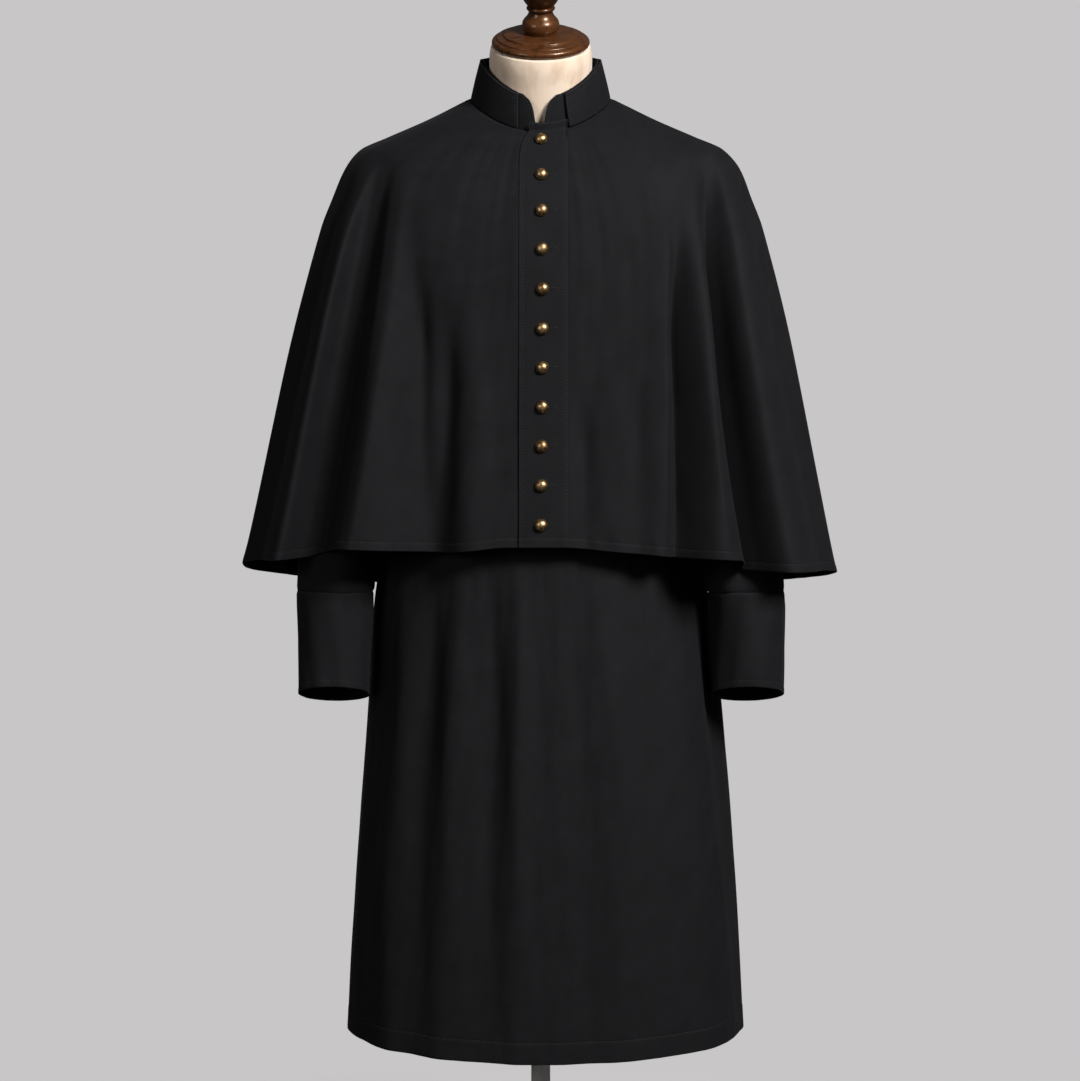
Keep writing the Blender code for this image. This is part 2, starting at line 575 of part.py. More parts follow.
def sleeve_rings(angle):
    return np.array([armhole_ring(angle)] + [sleeve_ring(row, angle) for row in SLEEVE_RINGS])


def cuff_rings(angle):
    return np.array([sleeve_ring(row, angle) for row in CUFF_RINGS])


def tube_part(name, rings, angle, mirror):
    """Part of a sleeve or cuff, its columns ordered so that it faces out on either side of the body."""
    step = math.radians(1)
    points = rings(angle)
    across = np.cross(rings(angle - step) - rings(angle + step), np.gradient(points, axis=0))
    facing = -across / np.linalg.norm(across, axis=-1, keepdims=True)
    for grid in (points, facing):
        grid[..., 0] *= mirror
    if mirror > 0:
        points, facing = points[:, ::-1], facing[:, ::-1]
    cloth_panel(name, points, facing)


def collar_points(rows, count):
    """A stand collar from its right front end round the back to its left front end."""
    levels = []
    for row in rows:
        depth = (row.y_back - row.y_front) / 2
        sines = [x / row.half_width for x in (row.left_end, row.right_end)]
        ends = [math.atan2(row.half_width * sine, depth * math.sqrt(1 - sine**2)) for sine in sines]
        turn = np.linspace(ends[0], ends[1] + math.tau, count)
        x, y = oval(turn, row.half_width, row.y_front, row.y_back, 2.0)
        z_end = np.where(np.cos(turn) > 0, row.z_front, row.z_back)
        z = row.z_side + (z_end - row.z_side) * np.abs(np.cos(turn)) ** CAPE_SECTIONS[0].dip
        levels.append(np.stack([x, y, z], axis=-1))
    return np.array(levels)[::-1]


def make_collars():
    for name, rows, columns, thickness in (
        ("cape_collar", CAPE_COLLAR, 25, COLLAR_CLOTH),
        ("cassock_collar", CASSOCK_COLLAR, 27, CLOTH),
    ):
        points = collar_points(rows, columns)
        across = np.cross(np.gradient(points, axis=0), np.gradient(points, axis=1))
        cloth_panel(name, points, across / np.linalg.norm(across, axis=-1, keepdims=True), thickness)


def make_cape():
    heights = np.array(CAPE_ROWS)
    band_seam = turn_at(CAPE_SECTIONS, BAND_RIGHT, heights)
    under_edge = turn_at(CAPE_SECTIONS, UNDERLAP, heights)
    left_turns = (band_seam, *FRONT_TURNS, 90.0)
    surface_panel("cape_front_left", cape_points, left_turns, CAPE_ROWS)
    right_turns = (-90.0, *(-turn for turn in reversed(FRONT_TURNS)), -13.0, 0.0, under_edge)
    surface_panel("cape_front_right", cape_points, right_turns, CAPE_ROWS)
    back_turns = (90.0, *BACK_TURNS, 180.0, *(360 - turn for turn in reversed(BACK_TURNS)), 270.0)
    surface_panel("cape_back", cape_points, back_turns, CAPE_ROWS)


def band_edge(heights):
    """The band's free edge, which curves in to the collar at its top."""
    near_top = np.clip((np.array(heights) - BAND_CURVE_START) / (NECK_HEIGHT - BAND_CURVE_START), 0, 1)
    return BAND_LEFT + BAND_TOP_CURVE * near_top**2


def make_front_band():
    """The band stands proud of the fronts, and comes down to the left front at its seam."""
    heights = np.array(CAPE_ROWS)
    columns = [band_edge(heights)]
    columns += [np.full_like(heights, x) for x in (-0.008, 0.010, UNDERLAP + 0.002, BAND_RIGHT - SEAM_GAP)]
    turns = [turn_at(CAPE_SECTIONS, x, heights) for x in columns]
    turn, height = grid_of(turns, CAPE_ROWS)
    facing = facing_of(cape_points, turn, height)
    proud = np.array([1.0, 1.0, 1.0, 1.0, 0.15]) * BAND_PROUD
    points = cape_points(turn, height) + facing * proud[None, :, None]
    above_neck = points[0] + Vector((0, -0.2, 1)).normalized() * BAND_RISE
    points = np.concatenate([above_neck[None], points])
    cloth_panel("front_band", points, np.concatenate([facing[:1], facing]))


def button_seats():
    """Where the buttons sit, measured down the band from its neck seam: place and outward direction."""
    heights = np.linspace(NECK_HEIGHT, CAPE_HEM, 400)
    facing = facing_of(cape_points, np.zeros_like(heights), heights)
    middle = cape_points(np.zeros_like(heights), heights) + facing * (BAND_PROUD + SEAM_GAP)
    run = np.concatenate([[0], np.cumsum(np.linalg.norm(np.diff(middle, axis=0), axis=1))])
    for down in (FIRST_BUTTON, *(SECOND_BUTTON + k * BUTTON_PITCH for k in range(BUTTONS - 1))):
        nearest = int(np.argmin(np.abs(run - down)))
        yield Vector(middle[nearest]), Vector(facing[nearest])


def make_buttons():
    """Domed metal buttons on short shanks, with a rolled rim."""
    radius = BUTTON_DIAMETER / 2
    profile = ((0.0, 0.0), (0.0030, 0.0), (0.0030, 0.0010), (radius * 0.93, 0.0012), (radius, 0.0022))
    profile += tuple(
        (radius * 0.92 * math.cos(angle), 0.0028 + 0.0047 * math.sin(angle))
        for angle in np.radians((8, 35, 62))
    )
    profile += ((0.0, 0.0075),)
    for number, (seat, facing) in enumerate(button_seats(), start=1):
        place = Matrix.Translation(seat) @ facing.to_track_quat("Z", "Y").to_matrix().to_4x4()
        turned(f"button_{number:02d}", profile, 12, BRASS, place)


def form_ring(row, inset):
    """A ring of the torso, a little inside the garment's section."""
    turn = np.linspace(0, math.tau, FORM_SIDES, endpoint=False)
    x, y = oval(turn, row.half_width - inset, row.y_front + inset, row.y_back - inset, row.square)
    z_end = np.where(np.cos(turn) > 0, row.z_front, row.z_back) - inset * 0.6
    side = row.height - inset * 0.6
    z = side + (z_end - side) * np.abs(np.cos(turn)) ** row.dip
    return np.stack([x, y, z], axis=-1)


def neck_ring(radius, down):
    """A ring of the neck, square to its leaning axis, at a distance down from its top."""
    turn = np.linspace(0, math.tau, FORM_SIDES, endpoint=False)[:, None]
    sideways = np.array([1.0, 0.0, 0.0])
    forward = np.array([0.0, -math.cos(NECK_LEAN), -math.sin(NECK_LEAN)])
    axis = np.array([0.0, -math.sin(NECK_LEAN), math.cos(NECK_LEAN)])
    return np.array(NECK_TOP) - axis * down + radius * (np.sin(turn) * sideways + np.cos(turn) * forward)


def make_form():
    """A padded torso with no arms or legs, its leaning neck closed by a turned cap and finial."""
    rings = [neck_ring(*row) for row in NECK_RINGS]
    rings.append(form_ring(THROAT, THROAT_INSET))
    inside = [row for row in BODY_SECTIONS[1:] if row.height > FORM_BOTTOM]
    rings += [form_ring(row, FORM_INSET) for row in inside]
    lowest = form_ring(inside[-1], BOTTOM_INSET)
    lowest[:, 2] = FORM_BOTTOM
    rings.append(lowest)
    lofted("form_body", rings, LINEN)
    leaning = Matrix.Translation(NECK_TOP) @ Matrix.Rotation(NECK_LEAN, 4, "X")
    turned("form_cap", CAP_PROFILE, 32, WALNUT, leaning)
    ball = [
        (BALL_RADIUS * math.sin(angle), BALL_MIDDLE - BALL_RADIUS * math.cos(angle))
        for angle in BALL_ANGLES
    ]
    turned("form_finial", [*FINIAL_STEM, *ball, (0, BALL_MIDDLE + BALL_RADIUS)], 24, WALNUT, leaning)


def make_stand():
    turned("form_pole", POLE_PROFILE, 24, PAINTED_STEEL)
    turned("form_base", FOOT_PROFILE, 48, PAINTED_STEEL)


clear_scene()
make_cassock_body()
make_sleeves()
make_collars()
make_cape()
make_front_band()
make_buttons()
make_form()
make_stand()
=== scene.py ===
import math
from collections import namedtuple

import bpy
import numpy as np
from mathutils import Matrix, Vector


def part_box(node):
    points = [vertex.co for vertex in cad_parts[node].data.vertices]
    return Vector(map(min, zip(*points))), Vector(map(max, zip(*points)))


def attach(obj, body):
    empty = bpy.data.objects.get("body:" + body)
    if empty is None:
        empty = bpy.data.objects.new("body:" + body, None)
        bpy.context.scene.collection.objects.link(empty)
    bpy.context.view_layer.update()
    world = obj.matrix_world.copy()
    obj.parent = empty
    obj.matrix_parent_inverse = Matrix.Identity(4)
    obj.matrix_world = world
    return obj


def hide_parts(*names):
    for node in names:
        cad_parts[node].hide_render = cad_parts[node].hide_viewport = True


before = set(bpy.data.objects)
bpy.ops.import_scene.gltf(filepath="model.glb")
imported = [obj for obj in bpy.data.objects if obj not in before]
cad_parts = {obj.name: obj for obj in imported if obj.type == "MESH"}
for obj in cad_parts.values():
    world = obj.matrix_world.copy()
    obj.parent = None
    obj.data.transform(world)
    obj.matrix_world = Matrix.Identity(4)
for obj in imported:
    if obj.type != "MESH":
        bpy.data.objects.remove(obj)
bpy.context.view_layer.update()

bpy.ops.object.select_all(action="DESELECT")

# ------------------------------
# The camera: a short telephoto at waist height, 3.2 m in front of the form and tipped down a
# little, so that the hem is in view and the finial's top is not.
CAMERA_DISTANCE = 3.2
CAMERA_HEIGHT = 1.073
CAMERA_TIP = math.radians(2.57)

bpy.ops.object.camera_add(
    location=(-0.0009, -CAMERA_DISTANCE, CAMERA_HEIGHT), rotation=(math.pi / 2 - CAMERA_TIP, 0, 0)
)
camera = bpy.context.object
camera.name = "portrait camera"
camera.data.lens = 82
camera.data.sensor_width = 36
camera.data.clip_end = 120
bpy.context.scene.camera = camera


# ------------------------------
# The stand: a steel tube screwed into a flange on a heavy round plate, with a wide washer under
# the torso. Turned and pressed steel, sprayed with a pale grey satin enamel before it is put up.
def linear(hex_colour, alpha=1.0):
    """An sRGB hex colour as the linear values that a shader takes."""
    parts = [int(hex_colour[k : k + 2], 16) / 255 for k in (1, 3, 5)]
    return (*(p / 12.92 if p <= 0.04045 else ((p + 0.055) / 1.055) ** 2.4 for p in parts), alpha)


def new_material(name, **settings):
    """A Principled material: its node tree and shader, with the shader's own sockets set."""
    material = bpy.data.materials.new(name)
    material.use_nodes = True
    shader = material.node_tree.nodes["Principled BSDF"]
    for socket, value in settings.items():
        shader.inputs[socket.replace("_", " ")].default_value = value
    return material, material.node_tree, shader


def add_node(tree, kind, inputs=(), **settings):
    """A node with its settings, its input values, and links from other nodes' outputs."""
    made = tree.nodes.new("ShaderNode" + kind)
    for name, value in settings.items():
        setattr(made, name, value)
    for socket, value in dict(inputs).items():
        if isinstance(value, bpy.types.NodeSocket):
            tree.links.new(value, made.inputs[socket])
        else:
            made.inputs[socket].default_value = value
    return made


def noise(tree, vector, scale, detail, **more):
    """Noise as a value, at a scale in waves a metre."""
    made = add_node(tree, "TexNoise", {"Vector": vector, "Scale": scale, "Detail": detail, **more})
    return made.outputs["Fac"]


def added(tree, first, second):
    """Two values added."""
    return add_node(tree, "Math", {0: first, 1: second}, operation="ADD").outputs["Value"]


def raised(tree, height, strength, distance):
    """A normal raised where a value is high."""
    made = add_node(tree, "Bump", {"Height": height, "Strength": strength, "Distance": distance})
    return made.outputs["Normal"]


def between(tree, value, low, high):
    """A colour that runs between two (value, hex colour) stops."""
    made = add_node(tree, "ValToRGB", {"Fac": value})
    for element, (position, colour) in zip(made.color_ramp.elements, (low, high)):
        element.position = position
        element.color = linear(colour)
    return made.outputs["Color"]


def mixed_colour(tree, share, colour, other):
    """A share of another colour mixed into the first."""
    made = add_node(tree, "Mix", {"Factor": share, 6: colour, 7: linear(other)}, data_type="RGBA")
    return made.outputs[2]


def wire(tree, shader, **outputs):
    """Links outputs into the shader's sockets."""
    for socket, output in outputs.items():
        tree.links.new(output, shader.inputs[socket.replace("_", " ")])


def new_piece(name, vertices, edges, faces, material=None):
    """A smooth mesh object in the scene."""
    mesh = bpy.data.meshes.new(name)
    mesh.from_pydata(vertices, edges, faces)
    if material:
        mesh.materials.append(material)
    mesh.shade_smooth()
    piece = bpy.data.objects.new(name, mesh)
    bpy.context.collection.objects.link(piece)
    return piece


def face_outwards(piece, spin_steps=0):
    """Turns a piece's faces outwards, once its profile has been spun about Z where steps are given."""
    bpy.ops.object.select_all(action="DESELECT")
    piece.select_set(True)
    bpy.context.view_layer.objects.active = piece
    bpy.ops.object.mode_set(mode="EDIT")
    bpy.ops.mesh.select_all(action="SELECT")
    if spin_steps:
        bpy.ops.mesh.spin(steps=spin_steps, angle=math.tau, center=(0, 0, 0), axis=(0, 0, 1))
        bpy.ops.mesh.select_all(action="SELECT")
        bpy.ops.mesh.remove_doubles(threshold=1e-5)
    bpy.ops.mesh.normals_make_consistent(inside=False)
    bpy.ops.object.mode_set(mode="OBJECT")


def turn_profile(name, profile, steps, material, place=Matrix()):
    """A piece turned on a lathe: (radius, height) points from the axis out and back, spun about Z."""
    points = [(radius, 0.0, height) for radius, height in profile]
    piece = new_piece(name, points, [(k, k + 1) for k in range(len(points) - 1)], [], material)
    face_outwards(piece, steps)
    piece.data.transform(place)
    bpy.ops.object.shade_smooth_by_angle(angle=math.radians(38))
    return piece


def arc(middle, radius, start, end, count):
    """Points of a round bead or cove on a profile: angles in degrees, 0 outwards and 90 up."""
    angles = np.radians(np.linspace(start, end, count))
    return [(middle[0] + radius * math.cos(a), middle[1] + radius * math.sin(a)) for a in angles]


# Sprayed enamel on steel: an even satin coat with a very slight orange-peel texture.
enamel, tree, shader = new_material(
    "sprayed grey enamel", Roughness=0.38, Coat_Weight=0.3, Coat_Roughness=0.2
)
place = add_node(tree, "TexCoord").outputs["Object"]
dirt = between(tree, noise(tree, place, 9.0, 6.0), (0.35, "#b9b7b3"), (0.62, "#c9c8c5"))
peel = raised(tree, noise(tree, place, 420.0, 2.0), 0.12, 0.0002)
wire(tree, shader, Base_Color=dirt, Normal=peel)

pole_foot, pole_top = (corner[2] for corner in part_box("form_pole"))
foot_radius, _, foot_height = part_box("form_base")[1]
POLE_RADIUS = 0.0125
FLANGE_RADIUS = 0.030
WASHER_RADIUS = 0.040

pole_profile = [(0, pole_foot), (FLANGE_RADIUS - 0.001, pole_foot), (FLANGE_RADIUS, pole_foot + 0.001)]
pole_profile += arc((FLANGE_RADIUS - 0.002, pole_foot + 0.005), 0.002, 0, 90, 4)
pole_profile += [(0.0185, pole_foot + 0.0075), (0.0162, pole_foot + 0.0105), (0.0158, pole_foot + 0.0180)]
pole_profile += arc((0.0142, pole_foot + 0.0185), 0.0016, 0, 90, 4)
pole_profile += [(POLE_RADIUS, pole_foot + 0.0205), (POLE_RADIUS, pole_top - 0.0085)]
pole_profile += [(WASHER_RADIUS - 0.001, pole_top - 0.0062)]
pole_profile += arc((WASHER_RADIUS - 0.0015, pole_top - 0.0045), 0.0015, -60, 0, 4)
pole_profile += [(WASHER_RADIUS, pole_top - 0.0006), (WASHER_RADIUS - 0.0006, pole_top), (0, pole_top)]
pole = turn_profile("steel_pole", pole_profile, 48, enamel)
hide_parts("form_pole")

foot_profile = [(0, 0), (foot_radius - 0.0012, 0)]
foot_profile += arc((foot_radius - 0.0012, 0.0012), 0.0012, -60, 0, 4)
foot_profile += arc((foot_radius - 0.0030, foot_height - 0.0045), 0.0030, 0, 80, 6)
foot_profile += [(0.150, foot_height - 0.0009), (0.060, foot_height), (0, foot_height)]
foot = turn_profile("steel_foot", foot_profile, 128, enamel)
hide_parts("form_base")
for steel in (pole, foot):
    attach(steel, "root")


# ------------------------------
# The dress form: a limbless padded torso with a leaning neck, moulded in papier-mache, padded
# with wadding, and covered in natural linen that is drawn tight and sewn down its sides.
def table(kind, *rows):
    """A table whose rows have named columns."""
    return [kind(*row) for row in rows]


Section = namedtuple("Section", "name height half_width x_middle y_front y_back z_front z_back square dip")
SKIRT_HEM = 0.296
BODY_SECTIONS = table(
    Section,
    ("neck", 1.4955, 0.0855, 0, -0.0845, 0.0655, 1.4435, 1.5155, 2, 1.2),
    ("yoke", 1.467, 0.143, 0, -0.107, 0.095, 1.4055, 1.4845, 2, 1.7),
    ("shoulder", 1.443, 0.191, 0, -0.125, 0.116, 1.355, 1.438, 2.05, 1.9),
    ("tip", 1.414, 0.201, 0, -0.131, 0.125, 1.325, 1.397, 2.1, 2),
    ("chest", 1.345, 0.195, 0, -0.133, 0.13, 1.285, 1.335, 2.2, 2),
    ("bust", 1.262, 0.188, 0, -0.134, 0.128, 1.235, 1.262, 2.2, 2),
    ("waist", 1.08, 0.179, 0, -0.133, 0.118, 1.08, 1.08, 2.1, 2),
    ("hip", 0.93, 0.2035, 0, -0.145, 0.143, 0.93, 0.93, 2, 2),
    ("seat", 0.85, 0.2178, 0.0012, -0.152, 0.152, 0.85, 0.85, 2, 2),
    ("thigh", 0.72, 0.23, 0.0055, -0.164, 0.162, 0.72, 0.72, 2.05, 2),
    ("knee", 0.55, 0.244, 0.0065, -0.176, 0.173, 0.55, 0.55, 2.15, 2),
    ("calf", 0.4, 0.2536, 0.0065, -0.185, 0.182, 0.4, 0.4, 2.2, 2),
    ("hem", SKIRT_HEM, 0.259, 0.0065, -0.191, 0.189, 0.29, 0.293, 2.2, 2),
)
NECK_LEAN = math.radians(26)
NECK_TOP = Vector((0.0, -0.048, 1.5602))
FORM_INSET = 0.009


def read(knots, values, at):
    """Values on a smooth curve through rising knots that never overshoots them."""
    knots = np.asarray(knots, float)
    values = np.asarray(values, float)
    step = np.diff(knots)
    rise = np.diff(values) / step
    same_way = rise[:-1] * rise[1:] > 0
    total = np.where(same_way, rise[:-1] + rise[1:], 1.0)
    slope = np.concatenate([rise[:1], np.where(same_way, 2 * rise[:-1] * rise[1:] / total, 0.0), rise[-1:]])
    k = np.clip(np.searchsorted(knots, at) - 1, 0, len(step) - 1)
    s = (at - knots[k]) / step[k]
    start = (1 + 2 * s) * (1 - s) ** 2 * values[k] + s * (1 - s) ** 2 * step[k] * slope[k]
    end = (3 - 2 * s) * s**2 * values[k + 1] - (1 - s) * s**2 * step[k] * slope[k + 1]
    return start + end


def oval(turn, half_width, y_front, y_back, square):
    """X and Y of a rounded oval at a turn, the angle round its middle from the front."""
    sine, cosine = np.sin(turn), np.cos(turn)
    across = (np.abs(sine) / half_width) ** square
    along = (np.abs(cosine) / ((y_back - y_front) / 2)) ** square
    reach = (across + along) ** (-1 / square)
    return reach * sine, (y_front + y_back) / 2 - reach * cosine


def form_ring(row, turn, inset):
    """A ring of the torso, a little inside the garment's section."""
    x, y = oval(turn, row.half_width - inset, row.y_front + inset, row.y_back - inset, row.square)
    z_end = np.where(np.cos(turn) > 0, row.z_front, row.z_back) - inset * 0.6
    side = row.height - inset * 0.6
    return np.stack([x, y, side + (z_end - side) * np.abs(np.cos(turn)) ** row.dip], axis=-1)


def neck_ring(radius, down, turn):
    """A ring of the neck, square to its leaning axis, at a distance down from its top."""
    forward = np.array([0.0, -math.cos(NECK_LEAN), -math.sin(NECK_LEAN)])
    axis = np.array([0.0, -math.sin(NECK_LEAN), math.cos(NECK_LEAN)])
    middle = np.array(NECK_TOP) - axis * down
    sideways = np.array([1.0, 0.0, 0.0])
    return middle + radius * (np.sin(turn)[:, None] * sideways + np.cos(turn)[:, None] * forward)


def smooth_between(rings, rows):
    """More rings, on smooth curves down through those given and spaced evenly."""
    rings = np.array(rings)
    steps = np.linalg.norm(np.diff(rings, axis=0), axis=-1).mean(axis=1)
    along = np.concatenate([[0], np.cumsum(steps)])
    at = np.linspace(0, along[-1], rows)
    columns = [[read(along, rings[:, k, axis], at) for axis in range(3)] for k in range(rings.shape[1])]
    return np.array(columns).transpose(2, 0, 1)


# Natural linen drawn over padding: an unbleached plain weave of about 14 threads to the
# centimetre, drawn at 1.2 mm so that it shows, with slubs, and browner where hands have soiled it.
linen, tree, shader = new_material(
    "drawn natural linen", Roughness=0.82, Sheen_Weight=0.45, Sheen_Roughness=0.5, Specular_IOR_Level=0.25
)
THREAD_PITCH = 0.0012
place = add_node(tree, "TexCoord").outputs["Object"]
weaving = {"Vector": place, "Scale": math.tau / (20 * THREAD_PITCH), "Distortion": 1.2, "Detail": 2.0}
warp, weft = (add_node(tree, "TexWave", weaving, bands_direction=way).outputs["Fac"] for way in "XZ")
stretched = add_node(tree, "Mapping", {"Vector": place, "Scale": (46.0, 46.0, 9.0)}).outputs["Vector"]
slubs = noise(tree, stretched, 1.0, 3.0)
blotches = noise(tree, place, 14.0, 4.0)
tone = between(tree, added(tree, slubs, blotches), (0.78, "#cbb299"), (1.0, "#ddc8b2"))
wire(tree, shader, Base_Color=tone, Normal=raised(tree, added(tree, warp, weft), 0.10, 0.0003))


def quads_of(index):
    """Quads over a grid of vertex numbers."""
    corners = (index[:-1, :-1], index[1:, :-1], index[1:, 1:], index[:-1, 1:])
    return np.stack(corners, axis=-1).reshape(-1, 4)


def ring_quads(rings, sides, closed=False):
    """Quads over rings of points, each joined end to end; closed joins the last ring to the first too."""
    index = np.arange(rings * sides).reshape(rings, sides)
    if closed:
        index = np.concatenate([index, index[:1]])
    return quads_of(np.concatenate([index, index[:, :1]], axis=1))


torso_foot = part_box("form_body")[0][2]
turn = np.linspace(0, math.tau, 144, endpoint=False)
throat = Section("throat", 1.4870, 0.0765, 0.000, -0.0725, 0.0600, 1.4400, 1.5040, 2.0, 1.2)
neck_edge = [neck_ring(*ring, turn) for ring in ((0.058, 0), (0.0618, 0.0001), (0.0632, 0.0008))]
rings = [neck_ring(*ring, turn) for ring in ((0.0636, 0.0022), (0.0655, 0.014), (0.0657, 0.036))]
rings.append(form_ring(throat, turn, 0.004))
rings += [form_ring(row, turn, FORM_INSET) for row in BODY_SECTIONS[1:8]]
under = []
for inset, drop in ((0, 0), (0.0026, 0.0038), (0.0060, 0.0060)):
    under.append(form_ring(BODY_SECTIONS[7], turn, FORM_INSET * 1.3 + inset))
    under[-1][:, 2] = torso_foot + 0.006 - drop
torso_rings = [*neck_edge, *smooth_between([*rings, under[0]], 110), *under[1:]]
count = len(turn)
vertices = np.concatenate(torso_rings)
faces = ring_quads(len(torso_rings), count).tolist()
faces.append(list(range(count)))
faces.append(list(range(len(vertices) - 1, len(vertices) - 1 - count, -1)))
torso = new_piece("linen_torso", vertices.tolist(), [], faces, linen)
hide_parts("form_body")
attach(torso, "root")


# ------------------------------
# The neck cap and finial: walnut turned on a lathe into stepped rings, a beaded base and a ball,
# stained dark, varnished and rubbed to a gloss. The cap is screwed down on the neck's linen edge.
# Its grain runs across the cap, brown and darker brown, and the finial is stained darker still.
walnut, tree, shader = new_material(
    "varnished dark walnut",
    Coat_Weight=0.3,
    Coat_Roughness=0.12,
    Specular_IOR_Level=0.6,
    Specular_Tint=linear("#d9b08c"),
)
place = add_node(tree, "TexCoord").outputs["Object"]
along_grain = {"Vector": place, "Scale": (60.0, 420.0, 420.0), "Rotation": (0.0, 0.0, 0.25)}
grain = noise(tree, add_node(tree, "Mapping", along_grain).outputs["Vector"], 1.0, 5.0, Distortion=0.7)
figure = noise(tree, place, 110.0, 4.0)
tone = between(tree, added(tree, grain, figure), (0.70, "#211006"), (1.0, "#4a2a14"))
height = add_node(tree, "SeparateXYZ", {"Vector": place}).outputs["Z"]
stain = add_node(tree, "MapRange", {"Value": height, "From Min": 1.584, "From Max": 1.612, "To Max": 0.8})
stained = mixed_colour(tree, stain.outputs["Result"], tone, "#1a0903")
rough = add_node(tree, "MapRange", {"Value": grain, "To Min": 0.28, "To Max": 0.42}).outputs["Result"]
wire(tree, shader, Base_Color=stained, Roughness=rough, Normal=raised(tree, grain, 0.08, 0.0002))

leaning = Matrix.Translation(NECK_TOP) @ Matrix.Rotation(NECK_LEAN, 4, "X")
cap_profile = [(0, 0.0003), (0.0570, 0.0003)]
cap_profile += arc((0.0574, 0.0051), 0.0048, -80, 80, 14)
cap_profile += [(0.0576, 0.0100), (0.0570, 0.0101)]
cap_profile += arc((0.0546, 0.0107), 0.0018, -15, 75, 6)
cap_profile += [(0.0525, 0.0126), (0.0495, 0.0134), (0.0480, 0.0136), (0.0475, 0.0138)]
cap_profile += arc((0.0460, 0.0148), 0.0013, -25, 75, 6)
cap_profile += [(0.0430, 0.0165), (0.0370, 0.0171), (0.0300, 0.0175), (0.0240, 0.0176), (0, 0.0176)]
cap = turn_profile("walnut_cap", cap_profile, 96, walnut, leaning)
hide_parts("form_cap")

finial_profile = [(0, 0.0179), (0.0192, 0.0179)]
finial_profile += arc((0.0196, 0.0192), 0.0012, -80, 20, 6)
finial_profile += [(0.0209, 0.0199), (0.0220, 0.0211), (0.0228, 0.0227), (0.0233, 0.0247), (0.0236, 0.0268)]
finial_profile += [(0.0236, 0.0290), (0.0233, 0.0310), (0.0226, 0.0329), (0.0215, 0.0346), (0.0201, 0.0362)]
finial_profile += [(0.0187, 0.0377), (0.0174, 0.0393), (0.0164, 0.0411), (0.0156, 0.0430), (0.0151, 0.0449)]
finial_profile += arc((0.0155, 0.0493), 0.0026, -75, 75, 9)
BALL_MIDDLE, BALL_RADIUS = 0.0711, 0.0246
finial_profile += arc((0, BALL_MIDDLE), BALL_RADIUS, -46, 87, 24)
finial_profile += [(0, BALL_MIDDLE + BALL_RADIUS)]
finial = turn_profile("walnut_finial", finial_profile, 72, walnut, leaning)
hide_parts("form_finial")
for wood in (cap, finial):
    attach(wood, "root")


# ------------------------------
# The cassock's body: a front and two backs cut in one length from neck to hem in black wool
# gabardine, joined at the sides and down the back with pressed-open seams, armholes left open.
# The hem is turned up and stitched, and long soft folds fall from under the cape.
CLOTH = 0.0016
COLLAR_CLOTH = 0.0022
SKIRT_HEM_DEPTH = 0.026
SEAM_REACH = 0.000185
SKIRT_WAVE = 0.0006
PUCKER = 0.00025
Crease = namedtuple("Crease", "name turn_top top turn_hem spread depth hem_depth")
SKIRT_CREASES = table(
    Crease,
    ("right hip hollow", -72, 0.96, -70, 6, -0.005, -0.003),
    ("right hip fold", -61, 1, -56, 6, 0.005, 0.002),
    ("right thigh hollow", -50, 1, -50, 5.5, -0.008, -0.004),
    ("right thigh fold", -37, 1, -38, 5.5, 0.009, 0.003),
    ("right front hollow", -23, 1, -23, 5.5, -0.009, -0.002),
    ("right front fold", -10, 1, -12, 5, 0.009, 0.002),
    ("left front hollow", 15, 1, 16, 6, -0.004, -0.002),
    ("left front fold", 30, 0.95, 29, 6, 0.004, 0.002),
    ("left hip fold", 57, 1, 60, 6, 0.006, 0.003),
    ("left hip hollow", 76, 1, 79, 7, -0.012, -0.003),
    ("left back fold", 112, 1, 116, 9, 0.007, 0.007),
    ("left back hollow", 133, 1, 138, 8, -0.009, -0.009),
    ("left seat fold", 152, 0.98, 157, 8, 0.007, 0.007),
    ("right seat fold", -152, 0.98, -157, 8, 0.007, 0.007),
    ("right back hollow", -130, 1, -136, 8, -0.009, -0.009),
    ("right back fold", -108, 1, -113, 9, 0.006, 0.006),
)


def column(rows, name, height):
    """A column of a section table, read at any height."""
    upward = rows[::-1]
    return read([row.height for row in upward], [getattr(row, name) for row in upward], height)


def ring(rows, turn, height):
    """Points of a garment round the figure, before any fold."""
    width, x_middle, y_front, y_back, z_front, z_back, square, dip = (
        column(rows, name, height) for name in Section._fields[2:]
    )
    x, y = oval(turn, width, y_front, y_back, square)
    z_end = np.where(np.cos(turn) > 0, z_front, z_back)
    z = height + (z_end - height) * np.abs(np.cos(turn)) ** dip
    return np.stack([x + x_middle, y, z], axis=-1)


def unit(vectors):
    """Vectors of length 1."""
    return vectors / np.linalg.norm(vectors, axis=-1, keepdims=True)


def creased(points, turn, height, creases, hem, flatness):
    """Points moved in or out along the soft hollows and ridges that a table lists."""
    wrapped = (np.degrees(turn) + 180) % 360 - 180
    moved = np.zeros_like(wrapped)
    for crease in creases:
        fallen = np.clip((crease.top - height) / (crease.top - hem), 0, 1)
        line = crease.turn_top + (crease.turn_hem - crease.turn_top) * fallen
        grown = np.clip(fallen / 0.4, 0, 1)
        depth = crease.depth + (crease.hem_depth - crease.depth) * np.clip(fallen / 0.6 - 0.67, 0, 1)
        moved += depth * grown**2 * (3 - 2 * grown) * np.exp(-(((wrapped - line) / crease.spread) ** 2))
    facing = unit(np.stack([np.sin(turn) * flatness, -np.cos(turn), np.zeros_like(moved)], axis=-1))
    return points + facing * moved[..., None]


